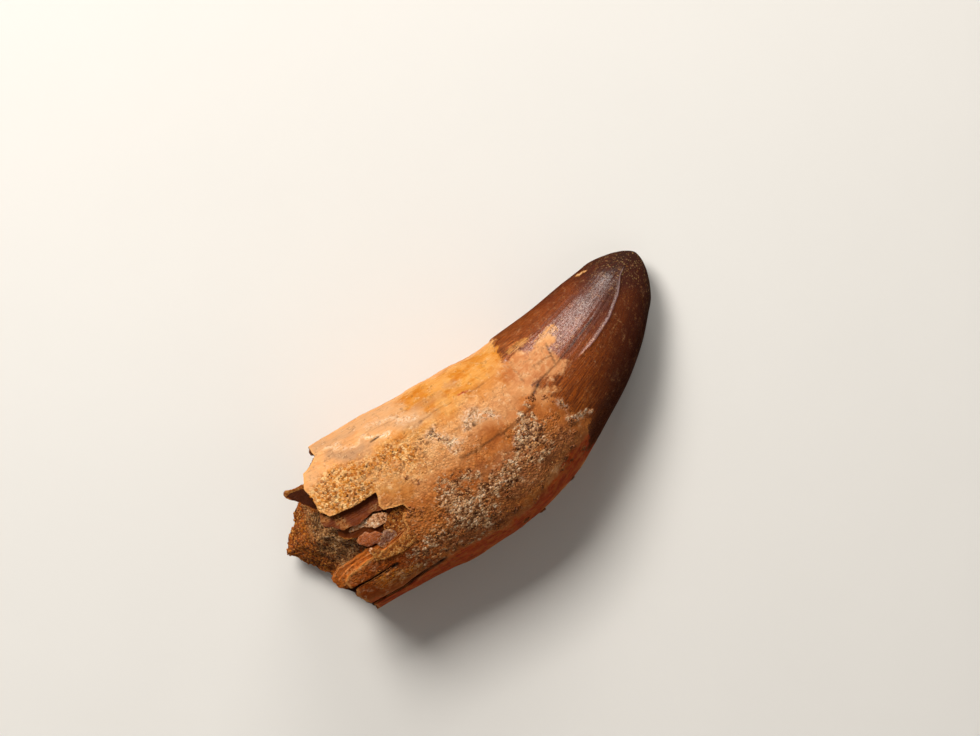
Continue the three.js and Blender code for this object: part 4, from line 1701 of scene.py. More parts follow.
class Graph:
    """Adds nodes to a node tree. A signal given as a value is linked, and a number is set."""

    def __init__(self, tree: bpy.types.NodeTree) -> None:
        """Keep the tree that the nodes go into."""
        self.tree = tree

    def feed(self, socket: bpy.types.NodeSocket, value: Input) -> None:
        """Link or set one input.

        Args:
            socket: The input.
            value: What it gets, or None to leave it as it is.
        """
        if isinstance(value, Signal):
            self.tree.links.new(value.socket, socket)
        elif isinstance(value, tuple) and socket.type == "RGBA":
            socket.default_value = (*value, 1.0)
        elif value is not None:
            socket.default_value = value

    def node(
        self, kind: str, inputs: dict[str | int, Input] | None = None, **settings: object
    ) -> Added:
        """Add a node.

        Args:
            kind: Its type's name without "ShaderNode".
            inputs: Values for its inputs, by name or index.
            settings: Its own properties.

        Returns:
            The new node.
        """
        made = self.tree.nodes.new("ShaderNode" + kind)
        for name, value in settings.items():
            setattr(made, name, value)
        for key, value in (inputs or {}).items():
            self.feed(made.inputs[key], value)
        return Added(self, made)

    def math(self, operation: str, first: Input, second: Input, **settings: object) -> Signal:
        """Return the result of a Math node."""
        return self.node("Math", {0: first, 1: second}, operation=operation, **settings)[0]

    def noise(
        self, place: Signal, scale: float, detail: float = 2.0, rough: float = 0.5, bent: float = 0.0
    ) -> Added:
        """Add a noise texture.

        Args:
            place: Where it is read.
            scale: How many lumps it has in one unit.
            detail: How many finer sizes it adds.
            rough: How strong they are.
            bent: How far it distorts itself.

        Returns:
            The texture's node.
        """
        return self.node("TexNoise", {
            "Vector": place, "Scale": scale, "Detail": detail, "Roughness": rough,
            "Distortion": bent})

    def divided(self, place: Signal, size: Input) -> Signal:
        """Return a place divided by a size."""
        factor = self.math("DIVIDE", 1.0, size)
        return self.node("VectorMath", {0: place, "Scale": factor}, operation="SCALE")[0]


class EffectGraph(Graph):
    """The nodes of one shared effect: a shader node group with named inputs and outputs."""

    def __init__(self, name: str, outputs: tuple[str, ...], **inputs: float) -> None:
        """Start the group, whose first input is a place.

        Args:
            name: The effect's name.
            outputs: The names of its outputs, which are all numbers.
            inputs: Its other inputs' defaults.
        """
        super().__init__(bpy.data.node_groups.new(name, "ShaderNodeTree"))
        sockets = self.tree.interface
        sockets.new_socket("Place", in_out="INPUT", socket_type="NodeSocketVector")
        for key, default in inputs.items():
            made = sockets.new_socket(key, in_out="INPUT", socket_type="NodeSocketFloat")
            made.default_value = default
        for key in outputs:
            sockets.new_socket(key, in_out="OUTPUT", socket_type="NodeSocketFloat")
        self.given = Added(self, self.tree.nodes.new("NodeGroupInput"))
        self.results = self.tree.nodes.new("NodeGroupOutput").inputs

    def finished(self, **values: Signal) -> bpy.types.NodeTree:
        """Feed the outputs.

        Args:
            values: The outputs' values, by name.

        Returns:
            The group.
        """
        for name, value in values.items():
            self.feed(self.results[name], value)
        return self.tree


def mottling() -> bpy.types.NodeTree:
    """Make cloudy patches of a chosen size and softness.

    Returns:
        The group.
    """
    graph = EffectGraph("Mottling", ("Mask",), Size=1.0, Softness=0.1)
    given = graph.given
    noise = graph.noise(graph.divided(given["Place"], given["Size"]), 1.0, 4.0, 0.62, 0.35)[0]
    low = graph.math("SUBTRACT", 0.5, given["Softness"])
    return graph.finished(Mask=noise.grade(low, given["Softness"] + 0.5))


def fibring() -> bpy.types.NodeTree:
    """Make fine streaks that run along the tooth.

    Returns:
        The group.
    """
    graph = EffectGraph("Fibres", ("Mask", "Height"), Width=0.3, Length=4.0, Softness=0.12)
    given = graph.given
    width, length = (graph.math("DIVIDE", 1.0, given[name]) for name in ("Width", "Length"))
    stretch = graph.node("CombineXYZ", {0: length, 1: width, 2: width})[0]
    spot = graph.node("VectorMath", {0: given["Place"], 1: stretch}, operation="MULTIPLY")[0]
    noise = graph.noise(spot, 1.0, 3.0, 0.6, 0.25)[0]
    low = graph.math("SUBTRACT", 0.5, given["Softness"])
    return graph.finished(Mask=noise.grade(low, given["Softness"] + 0.5), Height=noise)


def sanding() -> bpy.types.NodeTree:
    """Make packed grains: their height, each one's own tone, and the gaps between them.

    Returns:
        The group.
    """
    graph = EffectGraph("Sand", ("Height", "Tone", "Gap"), Grain=0.35, Jumble=0.3)
    given = graph.given
    spot = graph.divided(given["Place"], given["Grain"])
    drift = graph.noise(spot, 0.7)["Color"]
    push = graph.node("VectorMath", {0: drift, "Scale": given["Jumble"]}, operation="SCALE")[0]
    moved = graph.node("VectorMath", {0: spot, 1: push}, operation="ADD")[0]
    cells = graph.node("TexVoronoi", {"Vector": moved, "Scale": 1.0})
    tone = graph.node("SeparateColor", {0: cells["Color"]})[0]
    dome = cells["Distance"].grade(0.12, 0.72, 1.0, 0.0)
    gap = cells["Distance"].grade(0.46, 0.72)
    return graph.finished(Height=dome * (tone * 0.5 + 0.6), Tone=tone, Gap=gap)


def pitting() -> bpy.types.NodeTree:
    """Make scattered round pits or specks, some cells having none.

    Returns:
        The group.
    """
    graph = EffectGraph("Pits", ("Mask",), Spacing=1.0, Radius=0.15, Scarcity=0.5)
    given = graph.given
    spot = graph.divided(given["Place"], given["Spacing"])
    cells = graph.node("TexVoronoi", {"Vector": spot, "Scale": 1.0})
    parts = graph.node("SeparateColor", {0: cells["Color"]})
    there = graph.math("GREATER_THAN", parts[0], given["Scarcity"])
    reach = given["Radius"] / given["Spacing"] * (parts[1] * 0.9 + 0.55)
    return graph.finished(Mask=cells["Distance"].grade(reach * 0.6, reach, 1.0, 0.0) * there)


def gritting() -> bpy.types.NodeTree:
    """Make fine uneven grit: its dark specks and its height.

    Returns:
        The group.
    """
    graph = EffectGraph("Grit", ("Dark", "Height"), Size=0.2)
    spot = graph.divided(graph.given["Place"], graph.given["Size"])
    noise = graph.noise(spot, 1.0, 2.5, 0.75)[0]
    return graph.finished(Dark=noise.grade(0.33, 0.48, 1.0, 0.0), Height=noise)


def wearing() -> bpy.types.NodeTree:
    """Make an uneven band along an edge, from the distance to it.

    Returns:
        The group.
    """
    graph = EffectGraph("Edge wear", ("Mask",), Distance=1.0, Reach=0.4)
    given = graph.given
    noise = graph.noise(given["Place"], 2.2, 3.0)[0]
    ratio = given["Distance"] / (given["Reach"] * (noise * 2.0) + 0.02)
    return graph.finished(Mask=ratio.grade(0.35, 1.0, 1.0, 0.0))


@dataclass(frozen=True)
class Effects:
    """The effects that several materials use, each built once."""

    mottle: bpy.types.NodeTree
    fibres: bpy.types.NodeTree
    sand: bpy.types.NodeTree
    pits: bpy.types.NodeTree
    grit: bpy.types.NodeTree
    wear: bpy.types.NodeTree

    @classmethod
    def build(cls) -> "Effects":
        """Build every group."""
        return cls(mottling(), fibring(), sanding(), pitting(), gritting(), wearing())


class Surface(Graph):
    """The nodes of one material, with the shared effects placed in it."""

    def __init__(self, name: str, effects: Effects) -> None:
        """Start the material.

        Args:
            name: The finish's name.
            effects: The shared effects.
        """
        self.material = bpy.data.materials.new(name)
        self.material.use_nodes = True
        super().__init__(self.material.node_tree)
        self.effects = effects
        here = self.node("TexCoord")["Object"]
        self.place = self.node("VectorMath", {0: here, "Scale": 1 / METRES}, operation="SCALE")[0]

    def value(self, name: str) -> Signal:
        """Return a number that the mesh carries at its points."""
        return self.node("Attribute", attribute_name=name)["Fac"]

    def effect(self, group: bpy.types.NodeTree, **inputs: Input) -> Added:
        """Return an effect's node, placed in millimetres unless its inputs say where."""
        return self.node("Group", {"Place": self.place, **inputs}, node_tree=group)

    def mottle(self, size: float, softness: float) -> Signal:
        """Return cloudy patches."""
        return self.effect(self.effects.mottle, Size=size, Softness=softness)[0]

    def fibres(self, width: float, length: float, softness: float) -> Added:
        """Return streaks that follow the tooth."""
        flow = self.node("Attribute", attribute_name="flow")["Vector"]
        return self.effect(
            self.effects.fibres, Place=flow, Width=width, Length=length, Softness=softness)

    def sand(self, grain: float, jumble: float) -> Added:
        """Return packed grains."""
        return self.effect(self.effects.sand, Grain=grain, Jumble=jumble)

    def pits(self, spacing: float, radius: float, scarcity: float) -> Signal:
        """Return scattered pits."""
        return self.effect(
            self.effects.pits, Spacing=spacing, Radius=radius, Scarcity=scarcity)[0]

    def dress(self, height: Signal | None, **inputs: Input) -> bpy.types.Material:
        """Feed the shader.

        Args:
            height: The surface's relief in millimetres, if it has one.
            inputs: The shader's other inputs by name, an underscore for each space.

        Returns:
            The finished material.
        """
        shader = self.tree.nodes["Principled BSDF"].inputs
        for name, value in inputs.items():
            self.feed(shader[name.replace("_", " ")], value)
        if height is not None:
            bump = self.node("Bump", {"Strength": 1.0, "Distance": METRES, "Height": height})
            self.feed(shader["Normal"], bump[0])
        return self.material


@dataclass(frozen=True)
class SkinFinish:
    """Enamel and stained dentine with sand cemented to it."""

    tan_dark: Colour = (0.62, 0.265, 0.085)
    tan_light: Colour = (0.77, 0.41, 0.175)
    ochre: Colour = (0.48, 0.142, 0.008)
    ochre_light: Colour = (0.62, 0.29, 0.038)
    cream: Colour = (0.58, 0.31, 0.140)
    rose: Colour = (0.46, 0.165, 0.060)
    rose_light: Colour = (0.62, 0.28, 0.115)
    brown: Colour = (0.26, 0.052, 0.005)
    rust: Colour = (0.17, 0.022, 0.001)
    rust_light: Colour = (0.38, 0.070, 0.005)
    brown_light: Colour = (0.52, 0.148, 0.015)
    # The convex band's own red brown, reddened by painted bounce light from below.
    polish: Colour = (0.50, 0.062, 0.005)
    polish_dark: Colour = (0.25, 0.026, 0.002)
    # Painted shade inside cracks and pits.
    hollow_shade: Colour = (0.012, 0.005, 0.003)
    honey: Colour = (0.62, 0.25, 0.05)
    ember: Colour = (0.29, 0.062, 0.005)
    mauve: Colour = (0.048, 0.010, 0.005)
    streak: Colour = (0.052, 0.011, 0.004)
    speck: Colour = (0.42, 0.27, 0.09)
    chip: Colour = (0.66, 0.43, 0.23)
    ash: Colour = (0.38, 0.215, 0.115)
    umber: Colour = (0.27, 0.100, 0.040)
    chalk: Colour = (0.84, 0.72, 0.56)
    ruby: Colour = (0.34, 0.025, 0.006)
    # Dark grains and specks, and painted shade in the gaps between grains.
    grime_and_gap_shade: Colour = (0.070, 0.018, 0.004)
    bead_rim: Colour = (0.80, 0.48, 0.21)
    # Tint of the painted glints on the grains' tops.
    glint_tint: Colour = (0.58, 0.22, 0.045)
    worn_edge: Colour = (0.70, 0.34, 0.10)
    # Painted highlight along the ridge's crest.
    crest: Colour = (0.36, 0.26, 0.29)
    cake: Stops = (
        (0.0, (0.035, 0.016, 0.009)), (0.2, (0.20, 0.082, 0.034)), (0.45, (0.46, 0.235, 0.105)),
        (0.65, (0.62, 0.41, 0.235)), (0.9, (0.84, 0.73, 0.56)))
    beads: Stops = (
        (0.0, (0.26, 0.060, 0.004)), (0.35, (0.50, 0.150, 0.010)), (0.75, (0.62, 0.23, 0.025)),
        (1.0, (0.88, 0.56, 0.24)))
    enamel: Stops = (
        (0.0, (0.44, 0.118, 0.018)), (0.12, (0.33, 0.070, 0.008)), (0.35, (0.19, 0.034, 0.005)),
        (0.6, (0.100, 0.017, 0.004)), (0.88, (0.026, 0.008, 0.004)))
    enamel_run: float = 22.0
    nub_relief: float = 0.14
    bead_relief: float = 0.05
    fibre_relief: float = 0.03
    pit_relief: float = -0.1

    def root_colour(self, on: Surface) -> tuple[Signal, Signal]:
        """Build the root's colour and the height of what covers it.

        Args:
            on: The material's nodes.

        Returns:
            The colour and the height in millimetres.
        """
        mask = {name: on.value(name) for name in STAINS}
        clouds, patches, blots = on.mottle(2.4, 0.13), on.mottle(1.3, 0.1), on.mottle(0.8, 0.1)
        bands, fibres = on.fibres(1.1, 5.0, 0.16)["Mask"], on.fibres(0.26, 3.0, 0.12)
        grit = on.effect(on.effects.grit, Size=0.3)
        nubs, roe = on.sand(0.3, 0.5), on.sand(0.42, 0.5)
        varied = clouds * 0.5 + bands * 0.25 + blots * 0.25
        pale = (mask["cream"] + varied * 0.45).grade(0.4, 1.25)
        gloss = mask["polish"].grade(0.05, 0.85)
        # The band's colour, with painted red bounce light.
        band = fibres["Mask"].mix(self.polish_dark, self.polish)
        band = blots.grade(0.55, 0.8, 0.0, 0.4).mix(band, self.brown_light)
        calm = gloss.grade(0.0, 1.0, 1.0, 0.1)
        caked = (mask["crust"] + blots * 0.6 - 0.4).grade(0.0, 0.6) * calm
        tone = nubs["Tone"] * 0.7 + patches * 0.25 + grit["Height"] * 0.5 - 0.32
        beads = (roe["Gap"] * 0.6).mix(roe["Tone"].ramp(self.beads), self.bead_rim)
        coarse = on.math("MAXIMUM", on.math("MAXIMUM", mask["grain"], caked), mask["roe"]) * calm
        specked = coarse * patches.grade(0.0, 1.0, 1.0, 0.35)
        # Painted glints: lighter tops on the paler grains, tinted by the stain around them.
        glint_tint = mask["brown"].mix(self.bead_rim, self.glint_tint)
        glint_tint = mask["rust"].mix(glint_tint, self.brown_light)
        painted_glint = nubs["Tone"].grade(0.68, 0.98) * specked * nubs["Gap"].grade(0.0, 1.0, 0.8, 0.0)
        pits = on.pits(0.6, 0.11, 0.55) * specked
        colour = varied.mix(self.tan_dark, self.tan_light).coated(
            (mask["ochre"] * clouds.grade(0, 1, 1, 0.7), varied.mix(self.ochre, self.ochre_light)),
            (mask["rose"] * 0.8, blots.mix(self.rose, self.rose_light)),
            (pale, self.cream),
            (mask["ash"] * 0.8, self.ash),
            (mask["brown"] * 0.9, varied.mix(self.brown, self.brown_light)),
            (mask["rust"] * 0.9, varied.mix(self.rust, self.rust_light)),
            (mask["umber"] * blots.grade(0, 1, 0.95, 0.6), self.umber),
            (mask["chalk"] * grit["Height"].grade(0.4, 0.56), self.chalk),
            (mask["ruby"], self.ruby),
            (gloss, band),
            (fibres["Mask"] * 0.15, self.brown),
            (caked * 0.85, tone.ramp(self.cake)),
            (mask["roe"] * 0.85, beads),
            (nubs["Tone"].grade(0.05, 0.35, 0.8, 0.0) * specked, self.grime_and_gap_shade),
            (painted_glint, glint_tint),
            # Painted shade in the gaps between the grains.
            (nubs["Gap"] * specked * 0.3, self.grime_and_gap_shade),
            (grit["Dark"] * specked * 0.45, self.grime_and_gap_shade),
            # Painted shade in the pits.
            (pits * 0.95, self.hollow_shade),
        )
        height = grit["Height"] * coarse.grade(0.0, 1.0, 0.05, 0.12)
        height = height + nubs["Height"] * coarse * self.nub_relief
        height = height + roe["Height"] * mask["roe"] * self.bead_relief
        return colour, height + fibres["Height"] * self.fibre_relief + pits * self.pit_relief

    def crown_colour(self, on: Surface) -> tuple[Signal, Signal, Signal]:
        """Build the crown's colour, the height of its fine wrinkles, and its dull spots.

        Args:
            on: The material's nodes.

        Returns:
            The colour, the height in millimetres, and the share of the gloss that is lost.
        """
        reach, honey = on.value("crown"), on.value("honey")
        clouds, blots, flecks = on.mottle(1.8, 0.14), on.mottle(0.7, 0.12), on.mottle(0.22, 0.1)
        fine, broad = on.fibres(0.15, 2.2, 0.09), on.fibres(0.8, 7.0, 0.12)["Mask"]
        dots, tip = on.pits(0.27, 0.085, 0.3), on.pits(0.30, 0.10, 0.45)
        end = reach.grade(14.5, 19.0)
        patch = honey + flecks * 0.35 + blots * 0.5 - 0.45
        shifted = (reach + broad * -2.4 + clouds * 2.0) / self.enamel_run
        colour = shifted.ramp(self.enamel).coated(
            (on.value("ember") * 0.85, self.ember),
            (on.value("mauve") * 0.8, self.mauve),
            (patch.grade(0.3, 0.6), self.honey),
            (fine["Mask"] * reach.grade(0.0, 12.0, 0.75, 0.45), self.streak),
            (dots * 0.7, self.streak),
            (tip * end * 0.38, self.speck),
            (honey.grade(1.0, 1.3), self.chip),
        )
        height = fine["Height"] * 0.02 + flecks * 0.028 + dots * -0.01 + tip * end * 0.03
        return colour, height, dots * 0.6 + fine["Mask"] * 0.4 + end * 0.6

    def material(self, effects: Effects) -> bpy.types.Material:
        """Build the finish.

        Args:
            effects: The shared effects.

        Returns:
            The material.
        """
        on = Surface("stained_tooth", effects)
        root, root_height = self.root_colour(on)
        crown, crown_height, dull = self.crown_colour(on)
        ragged, specks = on.mottle(0.8, 0.2), on.mottle(0.2, 0.2)
        reach = on.value("crown") + ragged + specks * 0.5 - 0.75
        uncovered = on.value("bare") + ragged * 0.45 + specks * 0.3 - 0.35
        share = reach.grade(-0.3, 0.3) * uncovered.grade(0.1, 0.8, 1.0, 0.0)
        worn = on.effect(effects.wear, Distance=on.value("rim"), Reach=0.3)[0]
        colour = share.mix(root, crown).coated(
            (worn * 0.4, self.worn_edge),
            # Painted highlight along the ridge's crest.
            (on.value("crest") * specks.grade(0, 1, 1, 0.5) * 0.5, self.crest),
            # Painted shade inside the cracks and slits.
            (on.value("hairline") * 0.95, self.hollow_shade),
        )
        matt = on.value("polish").grade(0.0, 1.0, 0.8, 0.6)
        glaze = share * dull.grade(0.0, 1.0, 1.0, 0.15)
        glaze = glaze * on.value("mauve").grade(0.0, 1.0, 1.0, 0.15)
        return on.dress(
            share.mix(root_height, crown_height, "FLOAT"),
            Base_Color=colour,
            Roughness=share.mix(matt, dull.grade(0.0, 1.0, 0.36, 0.75), "FLOAT"),
            Coat_Weight=glaze * specks.grade(0.3, 0.7, 0.35, 1.0),
            Coat_Roughness=0.27,
            Specular_IOR_Level=0.08,
        )


@dataclass(frozen=True)
class BreakFinish:
    """Freshly broken dentine: split layers with a satin gloss, and sand on some of them."""

    name: str
    edge: Colour = (0.66, 0.30, 0.07)
    # Darker with depth: partly the inner layers' own colour, partly painted shade in gaps; crevice is
    # painted shade at the bottom of cracks.
    shallow: Colour = (0.38, 0.095, 0.011)
    middle: Colour = (0.17, 0.032, 0.004)
    deep: Colour = (0.070, 0.014, 0.003)
    crevice: Colour = (0.018, 0.005, 0.002)
    glow: Colour = (0.62, 0.165, 0.018)
    split: Colour = (0.12, 0.028, 0.010)
    dust_gap: Colour = (0.06, 0.018, 0.006)
    dust_dark: Colour = (0.30, 0.090, 0.014)
    dust_light: Colour = (0.66, 0.29, 0.09)
    dust_bright: Colour = (0.62, 0.36, 0.15)
    darkest_depth: float = 4.5
    roughness: float = 0.42
    gloss: float = 0.14
    unevenness: float = 0.02

    def material(self, effects: Effects) -> bpy.types.Material:
        """Build the finish.

        Args:
            effects: The shared effects.

        Returns:
            The material.
        """
        on = Surface(self.name, effects)
        splits, sand = on.fibres(0.15, 6.0, 0.1), on.sand(0.22, 0.5)
        blots, flecks = on.mottle(0.9, 0.12), on.mottle(0.28, 0.1)
        depth = (on.value("depth") + blots * 0.5 - 0.25) / self.darkest_depth
        dust = on.value("dust") * flecks.grade(0, 1, 0.7, 1.0)
        tint = sand["Tone"].ramp((
            (0.0, self.dust_gap), (0.25, self.dust_dark), (0.75, self.dust_light),
            (1.0, self.dust_bright)))
        # Darker with depth: the inner layers' own colour and painted shade in gaps, under plates and in
        # cracks.
        colour = depth.ramp((
            (0.0, self.edge), (0.07, self.shallow), (0.22, self.middle), (0.65, self.deep),
            (1.0, self.crevice))).coated(
            (on.value("glow") * flecks.grade(0, 1, 1, 0.6), self.glow),
            (splits["Mask"] * 0.4, self.split),
            (dust, tint),
        )
        height = splits["Height"] * 0.12 + flecks * self.unevenness
        return on.dress(
            height + sand["Height"] * dust * 0.08,
            Base_Color=colour,
            Roughness=dust.grade(0.0, 0.8, self.roughness, 0.72),
            Specular_IOR_Level=self.gloss,
        )


BREAK_FINISHES = {
    Cover.BARE: BreakFinish(Cover.BARE.value),
    Cover.SPECKLED: BreakFinish(
        Cover.SPECKLED.value, dust_dark=(0.56, 0.23, 0.09), dust_light=(0.88, 0.50, 0.27),
        dust_bright=(0.95, 0.76, 0.54)),
    Cover.GRANULAR: BreakFinish(
        Cover.GRANULAR.value, dust_dark=(0.22, 0.050, 0.005), dust_light=(0.42, 0.135, 0.017),
        dust_bright=(0.66, 0.34, 0.11)),
    Cover.GREY: BreakFinish(
        Cover.GREY.value, shallow=(0.30, 0.125, 0.060), middle=(0.26, 0.095, 0.045),
        dust_light=(0.58, 0.34, 0.22), dust_bright=(0.85, 0.7, 0.58), roughness=0.3,
        gloss=0.5, unevenness=0.07),
    Cover.RED: BreakFinish(
        Cover.RED.value, edge=(0.52, 0.19, 0.07), shallow=(0.40, 0.10, 0.022),
        middle=(0.30, 0.065, 0.012), dust_dark=(0.30, 0.07, 0.014),
        dust_light=(0.55, 0.24, 0.13), dust_bright=(0.85, 0.64, 0.50), roughness=0.3,
        gloss=0.32, unevenness=0.07),
}


@dataclass(frozen=True)
class SandstoneFinish:
    """Coarse sandstone, olive grey where it is fresh and orange brown where it is stained."""

    grey: Stops = (
        (0.15, (0.12, 0.042, 0.011)), (0.5, (0.38, 0.155, 0.042)), (0.9, (0.62, 0.33, 0.12)))
    warm: Stops = (
        (0.15, (0.12, 0.022, 0.002)), (0.5, (0.34, 0.072, 0.004)), (0.9, (0.52, 0.165, 0.014)))
    # Painted shade between the grains.
    gap: Colour = (0.035, 0.016, 0.007)

    def material(self, effects: Effects) -> bpy.types.Material:
        """Build the finish.

        Args:
            effects: The shared effects.

        Returns:
            The material.
        """
        on = Surface("sandstone", effects)
        coarse, fine = on.sand(0.42, 0.4), on.sand(0.22, 0.4)
        tone = coarse["Tone"] * 0.6 + fine["Tone"] * 0.4
        share = (on.value("warm") + on.mottle(1.1, 0.12) * 0.4).grade(0.3, 0.9)
        colour = share.mix(tone.ramp(self.grey), tone.ramp(self.warm))
        return on.dress(
            coarse["Height"] * 0.1 + fine["Height"] * 0.05,
            # Painted shade in the gaps between the grains.
            Base_Color=colour.coated((coarse["Gap"] * 0.7, self.gap)),
            Roughness=fine["Tone"].grade(0.0, 1.0, 0.8, 0.6),
            Specular_IOR_Level=0.15,
        )


@dataclass(frozen=True)
class GrainFinish:
    """Single grains of sand: dark ones, stained ones and clear quartz."""

    name: str
    plain: Stops
    stained: Stops
    roughness: float = 0.35
    film: Colour = (0.14, 0.04, 0.01)

    def material(self, effects: Effects) -> bpy.types.Material:
        """Build the finish.

        Args:
            effects: The shared effects.

        Returns:
            The material.
        """
        on = Surface(self.name, effects)
        tone, flecks = on.value("tone"), on.mottle(0.16, 0.15)
        share = on.math("ADD", on.value("warm"), on.mottle(0.6, 0.15) * 0.3, use_clamp=True)
        colour = share.mix(tone.ramp(self.plain), tone.ramp(self.stained))
        return on.dress(
            flecks * 0.02,
            Base_Color=colour.coated((flecks * 0.2, self.film)),
            Roughness=flecks.grade(0.0, 1.0, self.roughness, self.roughness + 0.3),
            Specular_IOR_Level=0.3,
        )


CRUST_GRAINS = GrainFinish(
    "crust_grains",
    ((0.0, (0.05, 0.022, 0.011)), (0.15, (0.24, 0.100, 0.038)), (0.5, (0.52, 0.27, 0.120)),
     (0.8, (0.68, 0.46, 0.27)), (1.0, (0.85, 0.73, 0.56))),
    ((0.0, (0.06, 0.018, 0.006)), (0.25, (0.30, 0.085, 0.014)), (0.6, (0.55, 0.20, 0.035)),
     (1.0, (0.84, 0.48, 0.16))),
)
AMBER_GRAINS = GrainFinish(
    "amber_grains",
    ((0.0, (0.30, 0.08, 0.008)), (0.5, (0.55, 0.18, 0.016)), (1.0, (0.84, 0.50, 0.18))),
    ((0.0, (0.36, 0.095, 0.007)), (0.5, (0.58, 0.19, 0.012)), (0.8, (0.74, 0.33, 0.05)),
     (1.0, (0.92, 0.66, 0.32))),
    0.2,
)
FILL_GRAINS = GrainFinish(
    "fill_grains",
    ((0.0, (0.07, 0.028, 0.009)), (0.3, (0.28, 0.125, 0.040)), (0.6, (0.50, 0.265, 0.105)),
     (0.9, (0.70, 0.48, 0.27)), (1.0, (0.92, 0.86, 0.70))),
    ((0.0, (0.08, 0.018, 0.002)), (0.4, (0.30, 0.080, 0.006)), (0.8, (0.50, 0.180, 0.018)),
     (1.0, (0.74, 0.44, 0.13))),
    0.3,
)


@dataclass(frozen=True)
class Tooth:
    """The crown, the root and its broken wall, with the sand cemented to them."""

    skin: ToothSkin = ToothSkin()
    wall: BrokenWall = BrokenWall()
    lumps: CrustLumps = CrustLumps()
    finish: SkinFinish = SkinFinish()
    sharp: Sand = Sand(GrainShape.SHARP, 0.2, 0.05, 0.13, 0.5, 0.8, 401)
    clump: Sand = Sand(GrainShape.ROUND, 0.3, 1.0, 1.0, 0.0, 0.5, 411)
    bead: Sand = Sand(GrainShape.ROUND, 0.28, 0.07, 0.18, 0.7, 0.5, 421)
    underside: float = 3.0
    node: str = "tooth"
    slot: str = "tooth"

    def build(self, effects: Effects) -> list[bpy.types.Object]:
        """Build and dress all of the tooth's pieces.

        Args:
            effects: The shared effects.

        Returns:
            The pieces.
        """
        skin = self.skin.shape()
        ends = self.node, self.slot
        pieces = [skin.piece("crown_and_root", self.finish.material(effects), *ends)]
        broken = {cover: look.material(effects) for cover, look in BREAK_FINISHES.items()}
        wall = self.wall.shape(self.skin)
        pieces.append(wall.piece("broken_wall", broken[Cover.BARE], *ends))
        for plate in PLATES:
            pieces.append(plate.shape().piece(plate.name, broken[plate.cover], *ends))
        for grains, look in ((self.crust(skin), CRUST_GRAINS), (self.beads(skin), AMBER_GRAINS)):
            pieces.append(grains.piece(look.name, look.material(effects), *ends))
        return pieces

    def crust(self, skin: Shape) -> Shape:
        """Grow the angular grains of the grey crust and of its lumps.

        Args:
            skin: The outer surface.

        Returns:
            All the grains.
        """
        normals = skin.normals()
        patchy = ease(rough_noise(skin.points, 1.3, 397), -0.25, 0.35)
        weight = np.clip(0.6 * skin.values["crust"] * patchy, 0.0, 0.5)
        weight = np.maximum(weight, 0.05 * patchy * skin.values["grain"])
        weight = weight * (skin.values["crown"] < -0.3) * (skin.points[:, 2] > self.underside)
        seats = self.sharp.seats(skin, weight)
        warm = 0.8 * skin.values["brown"][seats]
        grains = [self.sharp.grow(skin.points[seats], normals[seats], warm)]
        centres, ways, sizes = self.lumps.seats()
        for size in np.unique(np.round(sizes, 2)):
            chosen = np.round(sizes, 2) == size
            warm = np.full(chosen.sum(), 0.8)
            knot = self.clump.grow(centres[chosen], ways[chosen], warm, float(size))
            knot.values["tone"] *= 0.4
            grains.append(knot)
        return Shape.joined(grains)

    def beads(self, skin: Shape) -> Shape:
        """Grow the rounded amber grains near the break.

        Args:
            skin: The outer surface.

        Returns:
            All the grains.
        """
        patchy = ease(rough_noise(skin.points, 1.1, 417), -0.6, 0.2)
        weight = np.clip(0.6 * skin.values["roe"] * patchy, 0.0, 0.45)
        seats = self.bead.seats(skin, weight * (skin.values["crown"] < -0.3))
        warm = np.full(len(seats), 0.8)
        return self.bead.grow(skin.points[seats], skin.normals()[seats], warm)


@dataclass(frozen=True)
class CavityFill:
    """The sandstone plug with its single grains."""

    plug: MatrixFill = MatrixFill()
    finish: SandstoneFinish = SandstoneFinish()
    grit: Sand = Sand(GrainShape.ROUND, 0.3, 0.1, 0.22, 0.35, 0.3, 431)
    grit_share: float = 0.62
    grit_until: float = -16.0
    node: str = "matrix_fill"
    slot: str = "matrix_fill"

    def build(self, effects: Effects) -> list[bpy.types.Object]:
        """Build and dress the plug and the grains on its broken face.

        Args:
            effects: The shared effects.

        Returns:
            The pieces.
        """
        plug = self.plug.shape()
        seats = self.grit.seats(plug, self.grit_share * (plug.points[:, 0] < self.grit_until))
        grains = self.grit.grow(
            plug.points[seats], plug.normals()[seats], plug.values["warm"][seats])
        ends = self.node, self.slot
        return [
            plug.piece("sandstone_plug", self.finish.material(effects), *ends),
            grains.piece("fill_grains", FILL_GRAINS.material(effects), *ends),
        ]


@dataclass(frozen=True)
class Lamp:
    """A square soft light that faces the tooth.

    power: watts. size: its side in metres. azimuth: degrees from +X towards +Y. elevation:
    degrees above the floor. glossy, diffuse: whether such reflections show it.
    """

    name: str
    power: float
    size: float
    azimuth: float
    elevation: float
    glossy: bool = True
    diffuse: bool = True
    distance: float = 0.5

    def hang(self, colour: Colour) -> None:
        """Hang the light.

        Args:
            colour: Its colour.
        """
        data = bpy.data.lights.new(self.name, "AREA")
        data.energy, data.size, data.color = self.power, self.size, colour
        made = bpy.data.objects.new(self.name, data)
        turn, rise = math.radians(self.azimuth), math.radians(self.elevation)
        way = Vector((math.cos(turn) * math.cos(rise), math.sin(turn) * math.cos(rise),
                      math.sin(rise)))
        made.location = way * self.distance
        made.rotation_euler = way.to_track_quat("Z", "Y").to_euler()
        made.visible_glossy, made.visible_diffuse = self.glossy, self.diffuse
        bpy.context.scene.collection.objects.link(made)


